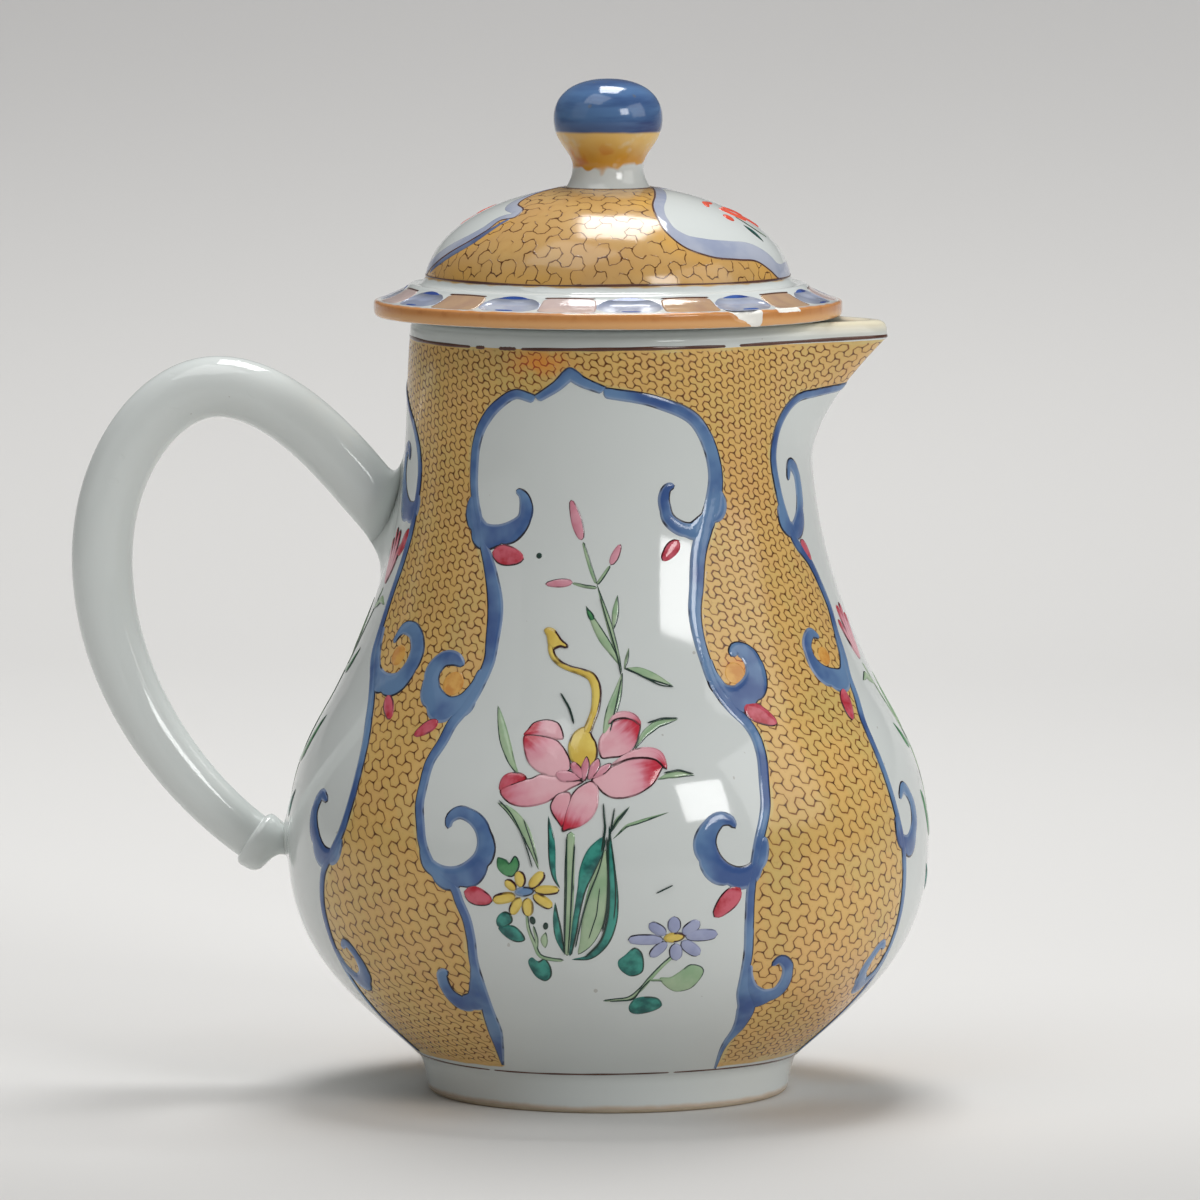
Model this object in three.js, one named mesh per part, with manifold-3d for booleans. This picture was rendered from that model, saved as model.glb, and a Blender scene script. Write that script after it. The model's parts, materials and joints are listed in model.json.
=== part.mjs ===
// A covered porcelain cream jug: a thrown pear-shaped body on a foot ring, a beak spout let into
// its rim, a loop handle luted on at two flared roots, and a domed cover with a collar and a knop.
// Millimetres, +Z up. The spout points along +X and the handle along -X.
import * as THREE from "three";
import { mergeVertices } from "three/addons/utils/BufferGeometryUtils.js";
import Module from "manifold-3d";

const wasm = await Module();
wasm.setup();

// Luted faces and seats keep this much clear of each other.
const seam = 0.3;

// Foot ring
const footHeight = 5.0;
const footTopRadius = 25.1;
const footBottomRadius = 24.0;
const footRingWidth = 3.6;
const footEdgeRound = 0.5;

// Body
const footJointRadius = 25.4;
const bellyRadius = 42.9;
const bellyHeight = 33.4;
const shoulderRadius = 36.3;
const shoulderHeight = 54.0;
const shoulderLean = 26.4; // degrees from upright at the shoulder
const mouthRadius = 26.2;
const rimHeight = 103.5;
const wall = 2.4;
const floorThickness = 2.8;
const lipRound = 0.7;

// Spout
const spoutReach = 10.9; // how far the beak's tip stands out from the mouth
const spoutDepth = 19.0; // from the rim down to where the keel leaves the neck
const spoutTipFace = 2.3; // height of the upright face at the beak's tip
const beakHalfAngle = 42; // degrees round the rim, from the keel to where a cheek leaves the wall
const beakFlare = 2.3; // 1 for straight cheeks in plan, more for hollow ones
const keelRise = 1.65; // 1 for a straight keel in side view, more for a hollow one
const keelRound = 0.06; // radians that round off the beak's keel
const keelWall = 3.1; // from the keel in to the bottom of the channel

// Handle
const handleRadius = 4.1;
const handleEndRadius = 3.2;
const handleFlatness = 0.94; // thickness across the loop over thickness in its plane
const handleStandOff = 25.4; // from the belly out to the middle of the rod
const handleTopDrop = 9.6; // from the rim down to the middle of the rod at the top
const handleTopSetback = 15.8; // from the furthest point back to the top of the loop
const handleSideDrop = 23.4; // from the top of the loop down to its furthest point

// Handle roots
const upperRootDrop = 22.9; // from the rim down to the end of the rod
const upperRootReach = 5.0; // from the neck out to the end of the rod
const upperRootSag = 3.3; // how far the root's base hangs below the end of the rod
const upperRootHalfHeight = 11.0;
const upperRootHalfWidth = 7.5;
const lowerRootHeight = 32.9;
const lowerRootReach = 4.5;
const lowerRootSag = 2.2;
const lowerRootHalfHeight = 13.2;
const lowerRootHalfWidth = 9.6;
const lowerRootNeck = 4.0; // radius of the root where the thinner rod butts against it
const rootFlare = 1.3; // 1 for a straight cone, more for one that opens late

// Cover
const coverOverhang = 5.0;
const coverRimThickness = 2.0;
const coverRimRound = 0.6;
const domeRadius = 24.3;
const domeSpring = 4.5; // height of the dome's springing above the rim
const domeRise = 13.3;
const coverWall = 2.3;
const collarClearance = 1.2;
const collarWall = 2.0;
const collarDepth = 6.0;

// Knop
const knopBaseRadius = 5.6;
const knopNeckRadius = 4.7;
const knopNeckHeight = 2.1; // above the crown of the dome
const knopRadius = 7.25;
const knopWidestHeight = 8.7;
const knopHeight = 14.0;

// Fineness of the facets
const turnSteps = 48;
const beakSteps = 20;
const knopSteps = 28;
const rodSides = 14;
const rodStepsPerCurve = 9;
const rootSteps = 6;

const materials = {
  porcelain: new THREE.MeshStandardMaterial({ color: 0xe4e9e6, roughness: 0.12, metalness: 0 }),
  biscuit: new THREE.MeshStandardMaterial({ color: 0xcfc4b0, roughness: 0.7, metalness: 0 }),
};

const point = (x, y) => new THREE.Vector2(x, y);
const smooth = (t) => t * t * (3 - 2 * t);
const clamp = THREE.MathUtils.clamp;

// A cubic curve that leaves `from` along `out` and reaches `to` along `arrive`.
function sweep(from, out, arrive, to) {
  return new THREE.CubicBezierCurve(from, from.clone().add(out), to.clone().sub(arrive), to);
}

// Closed shapes from rings of points. Each ring turns anticlockwise about the way the rings run,
// and the first and last rings are closed with a fan.
function skin(rings) {
  const count = rings[0].length;
  const positions = [];
  const put = (...corners) => corners.forEach((p) => positions.push(p.x, p.y, p.z));
  const middle = (ring) =>
    ring.reduce((sum, p) => sum.add(p), new THREE.Vector3()).divideScalar(count);
  for (let i = 0; i < count; i++) {
    const j = (i + 1) % count;
    put(middle(rings[0]), rings[0][j], rings[0][i]);
    put(middle(rings.at(-1)), rings.at(-1)[i], rings.at(-1)[j]);
    for (let k = 0; k + 1 < rings.length; k++) {
      put(rings[k][i], rings[k][j], rings[k + 1][j]);
      put(rings[k][i], rings[k + 1][j], rings[k + 1][i]);
    }
  }
  const geometry = new THREE.BufferGeometry();
  geometry.setAttribute("position", new THREE.Float32BufferAttribute(positions, 3));
  return geometry;
}

function toSolid(geometry) {
  const bare = geometry.clone();
  bare.deleteAttribute("normal");
  bare.deleteAttribute("uv");
  const merged = mergeVertices(bare, 1e-4);
  const index = merged.index.array;
  return new wasm.Manifold(
    new wasm.Mesh({
      numProp: 3,
      vertProperties: merged.attributes.position.array,
      triVerts: new Uint32Array(index),
    }),
  );
}

function toGeometry(solid) {
  const mesh = solid.getMesh();
  const geometry = new THREE.BufferGeometry();
  geometry.setAttribute("position", new THREE.BufferAttribute(mesh.vertProperties, 3));
  geometry.setIndex(new THREE.BufferAttribute(mesh.triVerts, 1));
  geometry.computeVertexNormals();
  return geometry;
}

// The pear's outline, radius and height, from the foot joint to the rim.
const lean = THREE.MathUtils.degToRad(shoulderLean);
const shoulderUp = point(-Math.sin(lean), Math.cos(lean));
const footJoint = point(footJointRadius, footHeight);
const belly = point(bellyRadius, bellyHeight);
const shoulder = point(shoulderRadius, shoulderHeight);
const mouth = point(mouthRadius, rimHeight);
const bellySwell = bellyRadius - footJointRadius;
const bellyRise = bellyHeight - footHeight;
const shoulderRise = shoulderHeight - bellyHeight;
const neckRise = rimHeight - shoulderHeight;
const pear = new THREE.CurvePath();
const underside = point(0.54 * bellySwell, 0.29 * bellyRise);
pear.add(sweep(footJoint, underside, point(0, 0.51 * bellyRise), belly));
const intoShoulder = shoulderUp.clone().multiplyScalar(0.21 * shoulderRise);
pear.add(sweep(belly, point(0, 0.53 * shoulderRise), intoShoulder, shoulder));
const outOfShoulder = shoulderUp.clone().multiplyScalar(0.52 * neckRise);
pear.add(sweep(shoulder, outOfShoulder, point(-0.033 * neckRise, 0.33 * neckRise), mouth));

// Evenly spread points on the outline, and the same points moved in by a depth.
function outline(curve, steps, depth = 0) {
  return Array.from({ length: steps + 1 }, (_, i) => {
    const t = i / steps;
    const along = curve.getTangent(t);
    return curve.getPoint(t).add(point(-along.y, along.x).multiplyScalar(depth));
  });
}

// The pear's radius at a height.
const finePear = outline(pear, 240);
function pearRadius(height) {
  const k = finePear.findIndex((p) => p.y >= height);
  if (k < 1) return height < bellyHeight ? footJointRadius : mouthRadius;
  const [a, b] = [finePear[k - 1], finePear[k]];
  return a.x + ((b.x - a.x) * (height - a.y)) / (b.y - a.y);
}

// How far the keel stands out of the round wall at a height.
function keelAt(height) {
  const share = (height - rimHeight + spoutDepth) / (spoutDepth - spoutTipFace);
  return spoutReach * clamp(share, 0, 1) ** keelRise;
}

// The distance from the axis at an angle: a circle whose cheeks draw out to a keel.
const beakHalf = THREE.MathUtils.degToRad(beakHalfAngle);
function beakedRadius(radius, reach, angle) {
  const away = Math.max(0, 1 - Math.hypot(angle, keelRound) / beakHalf);
  return radius + reach * (away / (1 - keelRound / beakHalf)) ** beakFlare;
}

// Angles round the jug, closer together at the keel.
const angles = [];
for (let i = 0; i < beakSteps; i++) {
  const share = (2 * i) / beakSteps - 1;
  angles.push(beakHalf * Math.sign(share) * Math.abs(share) ** 1.4);
}
const bodySteps = Math.round((turnSteps * (Math.PI - beakHalf)) / Math.PI);
for (let i = 0; i < bodySteps; i++)
  angles.push(beakHalf + (2 * (Math.PI - beakHalf) * i) / bodySteps);

// One ring of the jug's wall, for a radius that already lies `depth` in from the outer face.
function wallRing(radius, height, depth) {
  const reach = Math.max(0, keelAt(height) - depth * (keelWall / wall - 1));
  return angles.map((angle) => {
    const turn = angle > Math.PI ? angle - 2 * Math.PI : angle;
    const r = beakedRadius(radius, reach, turn);
    return new THREE.Vector3(r * Math.cos(angle), r * Math.sin(angle), height);
  });
}

// The whole thrown wall with its beak pulled out, before the spout is parted from it.
function vessel() {
  const floor = footHeight + floorThickness;
  const lipFoot = rimHeight - lipRound;
  const outside = outline(pear, 18).slice(0, -1);
  const inside = outline(pear, 15, wall).filter((p) => p.y > floor + wall / 2 && p.y < lipFoot);
  const rings = outside.map((p) => wallRing(p.x, p.y, 0));
  rings.push(wallRing(mouthRadius, lipFoot, 0));
  rings.push(wallRing(mouthRadius - lipRound, rimHeight, lipRound));
  rings.push(wallRing(mouthRadius - wall + lipRound, rimHeight, wall - lipRound));
  rings.push(wallRing(mouthRadius - wall, lipFoot, wall));
  inside.reverse().forEach((p) => rings.push(wallRing(p.x, p.y, wall)));
  rings.push(wallRing(inside.at(-1).x - floorThickness, floor, wall));
  return toSolid(skin(rings));
}

// The notch in the rim that the spout fills: an arch seen along the spout, `grow` larger all round.
function notch(grow) {
  const foot = rimHeight - spoutDepth;
  const top = rimHeight + wall;
  const rimHalf = mouthRadius * Math.sin(beakHalf);
  const half = (height) => grow + rimHalf * Math.sqrt((height - foot) / spoutDepth);
  const steps = 12;
  const side = Array.from({ length: steps + 1 }, (_, i) => {
    const height = foot + (top - foot) * (i / steps) ** 2;
    return point(half(height), height);
  });
  const mirrored = side.map((p) => point(-p.x, p.y)).reverse();
  const arch = new THREE.Shape([point(0, foot - grow), ...side, ...mirrored]);
  const length = mouthRadius + 2 * spoutReach;
  const block = new THREE.ExtrudeGeometry(arch, { depth: length, bevelEnabled: false });
  // The arch is drawn in Y and Z, and its thickness runs along +X from the jug's axis.
  const upright = new THREE.Matrix4().makeBasis(
    new THREE.Vector3(0, 1, 0),
    new THREE.Vector3(0, 0, 1),
    new THREE.Vector3(1, 0, 0),
  );
  return toSolid(block.applyMatrix4(upright));
}

// The space that the jug's wall takes, filled in and `grow` larger, for cutting what is luted to it.
function core(grow) {
  return toSolid(skin(outline(pear, 18, -grow).map((p) => wallRing(p.x, p.y, 0))));
}

function lathe(profile, steps) {
  const turned = new THREE.LatheGeometry(profile, steps);
  return toSolid(turned.rotateX(Math.PI / 2));
}

function footRing() {
  const inner = footTopRadius - footRingWidth;
  const profile = [
    point(inner + footEdgeRound, 0),
    point(footBottomRadius - footEdgeRound, 0),
    point(footBottomRadius, footEdgeRound),
    point(footTopRadius, footHeight - seam),
    point(inner, footHeight - seam),
    point(inner, footEdgeRound),
  ];
  return lathe([...profile, profile[0].clone()], turnSteps);
}

// The middle of the handle's rod, in X and Z, from the upper root over the top and down.
const loopTop = point(
  -(bellyRadius + handleStandOff - handleTopSetback),
  rimHeight - handleTopDrop,
);
const loopSide = point(-(bellyRadius + handleStandOff), loopTop.y - handleSideDrop);
const upperRootHeight = rimHeight - upperRootDrop;
const upperEnd = point(-(pearRadius(upperRootHeight) + upperRootReach), upperRootHeight);
const lowerEnd = point(-(pearRadius(lowerRootHeight) + lowerRootReach), lowerRootHeight);
const climb = loopTop.y - upperEnd.y;
const drop = loopSide.y - lowerEnd.y;
const rodCurves = [
  sweep(upperEnd, point(-0.27 * climb, 0.31 * climb), point(-0.65 * climb, 0), loopTop),
  sweep(loopTop, point(-0.5 * handleTopSetback, 0), point(0, -0.56 * handleSideDrop), loopSide),
  sweep(loopSide, point(0, -0.51 * drop), point(0.19 * drop, -0.125 * drop), lowerEnd),
];

// An ellipse of points about a middle, `tall` in the loop's plane and `wide` across it.
function section(middle, along, tall, wide) {
  const tangent = new THREE.Vector3(along.x, 0, along.y).normalize();
  const across = new THREE.Vector3(0, 1, 0);
  const up = across.clone().cross(tangent);
  return Array.from({ length: rodSides }, (_, i) => {
    const angle = (2 * Math.PI * i) / rodSides;
    return new THREE.Vector3(middle.x, 0, middle.y)
      .addScaledVector(up, tall * Math.cos(angle))
      .addScaledVector(across, wide * Math.sin(angle));
  });
}

function handle() {
  const rings = [];
  rodCurves.forEach((curve, c) => {
    for (let i = c ? 1 : 0; i <= rodStepsPerCurve; i++) {
      const t = i / rodStepsPerCurve;
      const share = c === 2 ? smooth(t) : 0;
      const radius = THREE.MathUtils.lerp(handleRadius, handleEndRadius, share);
      rings.push(section(curve.getPoint(t), curve.getTangent(t), radius, radius * handleFlatness));
    }
  });
  return toSolid(skin(rings));
}

// A root flares from the end of the rod to an ellipse just inside the jug's outer face.
function root(rodEnd, away, radius, base, tall, wide) {
  const start = rodEnd.clone().addScaledVector(away, seam);
  const third = start.distanceTo(base) / 3;
  const path = sweep(start, away.clone().multiplyScalar(third), point(third, 0), base);
  const rings = [];
  for (let i = 0; i <= rootSteps; i++) {
    const t = i / rootSteps;
    const flare = t ** rootFlare;
    const half = THREE.MathUtils.lerp(radius, tall, flare);
    const across = THREE.MathUtils.lerp(radius * handleFlatness, wide, flare);
    rings.push(section(path.getPoint(t), path.getTangent(t), half, across));
  }
  return toSolid(skin(rings)).subtract(core(seam));
}

function upperRoot() {
  const away = rodCurves[0].getTangent(0).negate();
  const height = upperRootHeight - upperRootSag;
  const base = point(-(pearRadius(height) - wall), height);
  return root(upperEnd, away, handleRadius, base, upperRootHalfHeight, upperRootHalfWidth);
}

function lowerRoot() {
  const away = rodCurves[2].getTangent(1);
  const height = lowerRootHeight - lowerRootSag;
  const base = point(-(pearRadius(height) - 2 * wall), height);
  return root(lowerEnd, away, lowerRootNeck, base, lowerRootHalfHeight, lowerRootHalfWidth);
}

// Heights that the cover and what it carries share.
const coverSeat = rimHeight + seam;
const springing = rimHeight + domeSpring;
const crown = springing + domeRise;
const coverRadius = mouthRadius + coverOverhang;
const collarRadius = mouthRadius - wall - collarClearance;
const collarInside = collarRadius - collarWall;

function domeOutline(radius, rise, fromAngle, toAngle, steps) {
  return Array.from({ length: steps + 1 }, (_, i) => {
    const angle = THREE.MathUtils.lerp(fromAngle, toAngle, i / steps);
    return point(radius * Math.cos(angle), springing + rise * Math.sin(angle));
  });
}

function cover() {
  const edge = coverSeat + coverRimThickness;
  const profile = [
    point(collarInside, coverSeat),
    point(coverRadius - coverRimRound, coverSeat),
    point(coverRadius, coverSeat + coverRimRound),
    point(coverRadius, edge - coverRimRound),
    point(coverRadius - coverRimRound, edge),
  ];
  const brimTop = point(domeRadius, springing);
  const brim = sweep(
    profile.at(-1),
    point(-0.45 * coverOverhang, 0.1 * domeSpring),
    point(-0.3, 0.2 * domeSpring),
    brimTop,
  );
  profile.push(...brim.getPoints(4).slice(1, -1));
  profile.push(...domeOutline(domeRadius, domeRise, 0, Math.PI / 2, 9));
  const hollow = domeOutline(domeRadius - coverWall, domeRise - coverWall, Math.PI / 2, 0.12, 6);
  profile.push(...hollow);
  return lathe([...profile, profile[0].clone()], turnSteps);
}

function collar() {
  const top = coverSeat - seam;
  const foot = top - collarDepth;
  const profile = [
    point(collarInside, foot),
    point(collarRadius - 0.4, foot),
    point(collarRadius, foot + 0.8),
    point(collarRadius, top),
    point(collarInside, top),
  ];
  return lathe([...profile, profile[0].clone()], turnSteps);
}

function knop() {
  const domeAt = (radius) => springing + domeRise * Math.sqrt(1 - (radius / domeRadius) ** 2);
  const neck = point(knopNeckRadius, crown + knopNeckHeight);
  const widest = point(knopRadius, crown + knopWidestHeight);
  const top = point(0, crown + knopHeight);
  const swell = knopWidestHeight - knopNeckHeight;
  const cap = knopHeight - knopWidestHeight;
  const profile = [
    point(0, domeAt(0) + seam),
    point(0.6 * knopBaseRadius, domeAt(0.6 * knopBaseRadius) + seam),
    point(knopBaseRadius, domeAt(knopBaseRadius) + seam),
    ...sweep(
      point(knopBaseRadius - 0.1, domeAt(knopBaseRadius) + 2 * seam),
      point(-0.5, 0.3 * knopNeckHeight),
      point(0, 0.4 * knopNeckHeight),
      neck,
    ).getPoints(2),
    ...sweep(neck, point(0, 0.33 * swell), point(0, 0.52 * swell), widest).getPoints(5).slice(1),
    ...sweep(widest, point(0, 0.65 * cap), point(-0.6 * knopRadius, 0), top).getPoints(6).slice(1),
  ];
  return lathe(profile, knopSteps);
}

function piece(name, solid, material) {
  const mesh = new THREE.Mesh(toGeometry(solid), materials[material]);
  mesh.name = name;
  return mesh;
}

const thrown = vessel();
const jug = new THREE.Group();
jug.add(
  piece("jug_body", thrown.subtract(notch(seam)), "porcelain"),
  piece("beak_spout", thrown.intersect(notch(0)), "porcelain"),
  piece("foot_ring", footRing(), "biscuit"),
  piece("loop_handle", handle(), "porcelain"),
  piece("upper_handle_root", upperRoot(), "porcelain"),
  piece("lower_handle_root", lowerRoot(), "porcelain"),
);

const lid = new THREE.Group();
lid.add(
  piece("domed_cover", cover(), "porcelain"),
  piece("cover_collar", collar(), "porcelain"),
  piece("ball_knop", knop(), "porcelain"),
);

// The origin is the middle of the whole part's footprint on the table.
const part = new THREE.Group();
part.add(jug, lid);
const middle = new THREE.Box3().setFromObject(part, true).getCenter(new THREE.Vector3());
part.position.x = -middle.x;

export default part;
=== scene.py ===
"""Dresses a covered porcelain cream jug: the thrown and glazed shapes, the ochre diaper, the blue
scrolls, the flower sprays in raised enamels, and the table that it stands on."""

import json
import math

import bpy
import numpy as np
from bpy.props import FloatProperty, FloatVectorProperty, IntProperty, PointerProperty
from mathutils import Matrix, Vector

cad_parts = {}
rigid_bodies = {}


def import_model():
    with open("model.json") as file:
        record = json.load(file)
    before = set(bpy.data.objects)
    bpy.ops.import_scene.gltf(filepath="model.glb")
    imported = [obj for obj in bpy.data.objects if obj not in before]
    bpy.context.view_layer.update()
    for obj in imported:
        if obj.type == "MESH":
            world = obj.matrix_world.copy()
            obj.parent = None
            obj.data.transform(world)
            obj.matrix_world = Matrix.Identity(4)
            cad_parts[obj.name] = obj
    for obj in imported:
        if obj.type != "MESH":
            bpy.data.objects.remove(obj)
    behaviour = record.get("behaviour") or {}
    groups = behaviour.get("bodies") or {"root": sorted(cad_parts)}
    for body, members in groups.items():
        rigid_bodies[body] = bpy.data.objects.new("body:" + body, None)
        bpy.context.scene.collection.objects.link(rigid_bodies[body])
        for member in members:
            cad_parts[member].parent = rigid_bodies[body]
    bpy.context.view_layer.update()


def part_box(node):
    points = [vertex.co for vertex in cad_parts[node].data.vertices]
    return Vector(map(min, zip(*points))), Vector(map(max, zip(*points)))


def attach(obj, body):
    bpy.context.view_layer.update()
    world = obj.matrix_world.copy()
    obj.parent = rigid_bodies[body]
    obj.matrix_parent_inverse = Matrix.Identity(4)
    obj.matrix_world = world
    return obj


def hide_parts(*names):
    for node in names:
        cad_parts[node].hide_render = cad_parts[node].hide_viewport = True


bl_info = {
    "name": "Covered Cream Jug",
    "version": (1, 0, 0),
    "blender": (4, 5, 0),
    "location": "3D View > Sidebar > Cream Jug",
    "description": "Shapes, glazes and paints a covered porcelain cream jug on a table",
    "category": "Add Mesh",
}

for left_over in list(bpy.data.objects):
    bpy.data.objects.remove(left_over)
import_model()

# Shapes are worked out in millimetres about the jug's own axis, with the spout towards +X.
MM = 0.001
foot_low, foot_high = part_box("foot_ring")
AXIS = Vector(((foot_low.x + foot_high.x) / 2, 0, 0))

# Body and spout; the pear's outline runs through these places, each a radius and a height.
RIM = 103.5
MOUTH = 26.2
FOOT_JOINT = (25.4, 5.0)
BELLY = (42.9, 33.4)
SHOULDER = (36.3, 54.0)
SHOULDER_LEAN = math.radians(26.4)
WALL = 2.4
FLOOR = 7.8
LIP_TOP = 0.9
LIP_HALF = 1.2
SPOUT_REACH = 10.9
SPOUT_DEPTH = 19.0
SPOUT_TIP = 2.3
KEEL_RISE = 1.65
KEEL_ROUND = 0.06
KEEL_WALL = 3.1
BEAK_HALF = math.radians(42)
BEAK_FLARE = 2.3
LIP_LINE = 101.0
FOOT_LINE = 5.5

# Handle; its rod runs over a top and a side, and its ends stand off the wall.
ROD = 4.1
ROD_END = 3.2
ROD_FLAT = 0.94
ROD_SIDES = 40
LOOP_TOP = (-52.5, 93.9)
LOOP_SIDE = (-68.3, 70.5)
UPPER_ROOT = 80.6
UPPER_REACH = 5.0
LOWER_END = (-47.4, 32.9)
BEHIND = math.radians(-90)

# Cover
SEAT = 103.8
BRIM = 31.2
BRIM_EDGE = (30.8, 105.97)
SPRINGING = 108.0
DOME = 24.3
DOME_RISE = 13.3
DOME_SKIN = DOME + 0.05
CROWN = SPRINGING + DOME_RISE
COVER_WALL = 2.3
COLLAR_OUTSIDE = 22.6
COLLAR_INSIDE = 20.6
COVER_LINE = 109.05
KNOP_BASE = 5.6

# Table and camera, in metres
PAPER_HALF = 1.6
PAPER_BENDS_AT = 0.55
PAPER_BEND = 0.45
CAMERA_TURN = math.radians(6)
CAMERA_AWAY = 1.25
CAMERA_HEIGHT = 0.184
CAMERA_LENS = 282
SHIFT_RIGHT = -0.00107
LOOKS_AT = 0.0657
AIM_HEIGHT = 0.06


def shade(red, green, blue):
    """A colour as the shader wants it, from the three parts out of 255 that the eye sees."""
    parts = [c / 255 for c in (red, green, blue)]
    return [c / 12.92 if c <= 0.04045 else ((c + 0.055) / 1.055) ** 2.4 for c in parts]


def colour(name, description, default):
    return FloatVectorProperty(
        name=name,
        description=description,
        default=shade(*default),
        subtype="COLOR",
        size=3,
        min=0,
        max=1,
    )


def length(name, description, default, low, high):
    return FloatProperty(
        name=name,
        description=description,
        default=default,
        min=low,
        max=high,
        unit="LENGTH",
        precision=5,
    )


class JugSizes(bpy.types.PropertyGroup):
    """Sizes of the painting on the jug"""

    diaper_columns: IntProperty(
        name="Diaper columns",
        description="Columns of Y-shaped cells round the jug; an even number closes the ring",
        default=88,
        min=40,
        max=160,
        step=2,
    )
    cover_cell: length(
        "Cover cell", "Distance between the diaper's columns on the cover", 0.0036, 0.001, 0.01
    )
    pen_width: length(
        "Pen width", "Width of the lines between the diaper's cells", 0.00023, 0.00005, 0.0008
    )
    enamel_height: length(
        "Enamel height", "How far the enamels stand up from the glaze", 0.00014, 0.00002, 0.0004
    )
    line_width: length(
        "Outline width", "Width of an enamel's dark outline", 0.0002, 0.00004, 0.0006
    )


class JugColours(bpy.types.PropertyGroup):
    """Colours of the glaze and the enamels"""

    glaze: colour("Glaze", "White porcelain under a faintly blue-green glaze", (213, 218, 216))
    clay: colour("Bare clay", "Unglazed porcelain on the foot's bearing edge", (196, 184, 164))
    ochre: colour("Ochre", "Ground of the diaper", (224, 183, 110))
    diaper_line: colour("Diaper line", "Pen lines between the Y-shaped cells", (92, 54, 20))
    blue: colour("Blue", "Scroll borders", (104, 137, 176))
    deep_blue: colour("Deep blue", "Blue where the enamel has pooled", (52, 80, 138))
    grey_blue: colour("Grey blue", "Washed borders on the cover", (176, 182, 198))
    outline: colour("Outline", "Fine dark outlines", (38, 36, 46))
    brown: colour("Brown", "Lines under the lip and above the foot", (98, 66, 56))
    rose: colour("Rose", "Petals", (232, 182, 190))
    deep_rose: colour("Deep rose", "Tips of the petals, and the buds", (196, 52, 70))
    sage: colour("Sage", "Stems and broad leaves", (170, 192, 158))
    green: colour("Green", "Small leaves", (84, 150, 98))
    teal: colour("Teal", "Shaded leaves", (64, 152, 138))
    yellow: colour("Yellow", "Daisy and seed head", (230, 206, 108))
    mauve: colour("Mauve", "Small daisy", (164, 170, 200))
    orange: colour("Orange", "Edge of the cover", (224, 168, 108))
    iron_red: colour("Iron red", "Flower on the cover", (232, 92, 66))
    backdrop: colour("Backdrop", "Table and background", (226, 225, 223))


# ---- Shader maths ----


class Wire:
    """The output of a shader node, which sums in Python turn into more nodes."""

    def __init__(self, finish, socket):
        self.finish = finish
        self.socket = socket

    def math(self, operation, *values):
        settings = {"operation": operation}
        return self.finish.node("ShaderNodeMath", settings, dict(enumerate(values)))

    def __add__(self, other):
        return self.math("ADD", self, other)

    __radd__ = __add__

    def __sub__(self, other):
        return self.math("SUBTRACT", self, other)

    def __rsub__(self, other):
        return self.math("SUBTRACT", other, self)

    def __mul__(self, other):
        return self.math("MULTIPLY", self, other)

    __rmul__ = __mul__

    def __truediv__(self, other):
        return self.math("DIVIDE", self, other)

    def __rtruediv__(self, other):
        return self.math("DIVIDE", other, self)

    def __pow__(self, other):
        return self.math("POWER", self, other)

    def __abs__(self):
        return self.math("ABSOLUTE", self)

    def at_least(self, other):
        return self.math("MAXIMUM", self, other)

    def at_most(self, other):
        return self.math("MINIMUM", self, other)

    def climb(self, low, high):
        """0 below low and 1 above high, with a soft step between."""
        settings = {"interpolation_type": "SMOOTHSTEP", "clamp": True}
        values = {"Value": self, "From Min": low, "From Max": high}
        return self.finish.node("ShaderNodeMapRange", settings, values)

    def fall(self, low, high):
        """1 below low and 0 above high."""
        return 1 - self.climb(low, high)


class Finish:
    """One material: a glossy surface whose colour, roughness and relief are built from nodes."""

    def __init__(self, name):
        self.material = bpy.data.materials.new(name)
        self.material.use_nodes = True
        self.tree = self.material.node_tree
        self.tree.nodes.clear()
        self.surface = self.tree.nodes.new("ShaderNodeBsdfPrincipled")
        sink = self.tree.nodes.new("ShaderNodeOutputMaterial")
        self.tree.links.new(self.surface.outputs[0], sink.inputs["Surface"])

    def node(self, kind, settings=None, values=None, output=0):
        made = self.tree.nodes.new(kind)
        for key, value in (settings or {}).items():
            setattr(made, key, value)
        self.fill(made, values or {})
        return Wire(self, made.outputs[output])

    def fill(self, made, values):
        for key, value in values.items():
            if isinstance(value, Wire):
                self.tree.links.new(value.socket, made.inputs[key])
            else:
                made.inputs[key].default_value = value

    def place(self):
        return self.node("ShaderNodeTexCoord", output="Object")

    def paint_map(self):
        return self.node("ShaderNodeUVMap", {"uv_map": "paint"})

    def parts(self, vector):
        return [
            self.node("ShaderNodeSeparateXYZ", values={0: vector}, output=axis) for axis in range(3)
        ]

    def joined(self, x, y, z=0.0):
        return self.node("ShaderNodeCombineXYZ", values={0: x, 1: y, 2: z})

    def mark(self, name):
        settings = {"attribute_type": "GEOMETRY", "attribute_name": name}
        return self.node("ShaderNodeAttribute", settings, output="Fac")

    def vector(self, operation, *values, output=0):
        settings = {"operation": operation}
        return self.node("ShaderNodeVectorMath", settings, dict(enumerate(values)), output)

    def noise(self, where, scale, detail=2.0, output=0):
        values = {"Vector": where, "Scale": scale, "Detail": detail}
        return self.node("ShaderNodeTexNoise", values=values, output=output)

    def blend(self, share, below, above):
        """below where share is 0 and above where it is 1; both are colours."""
        settings = {"data_type": "RGBA"}
        full = {6: opaque(below), 7: opaque(above)}
        return self.node("ShaderNodeMix", settings, {0: share, **full}, output=2)

    def relief(self, height, distance):
        """Stands the surface up by height times distance, which is in metres."""
        bump = self.node("ShaderNodeBump", values={"Height": height, "Distance": distance})
        self.fill(self.surface, {"Normal": bump})

    def set(self, **values):
        named = {key.replace("_", " ").title(): value for key, value in values.items()}
        self.fill(self.surface, {key: opaque(value) for key, value in named.items()})
        return self.material


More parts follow.
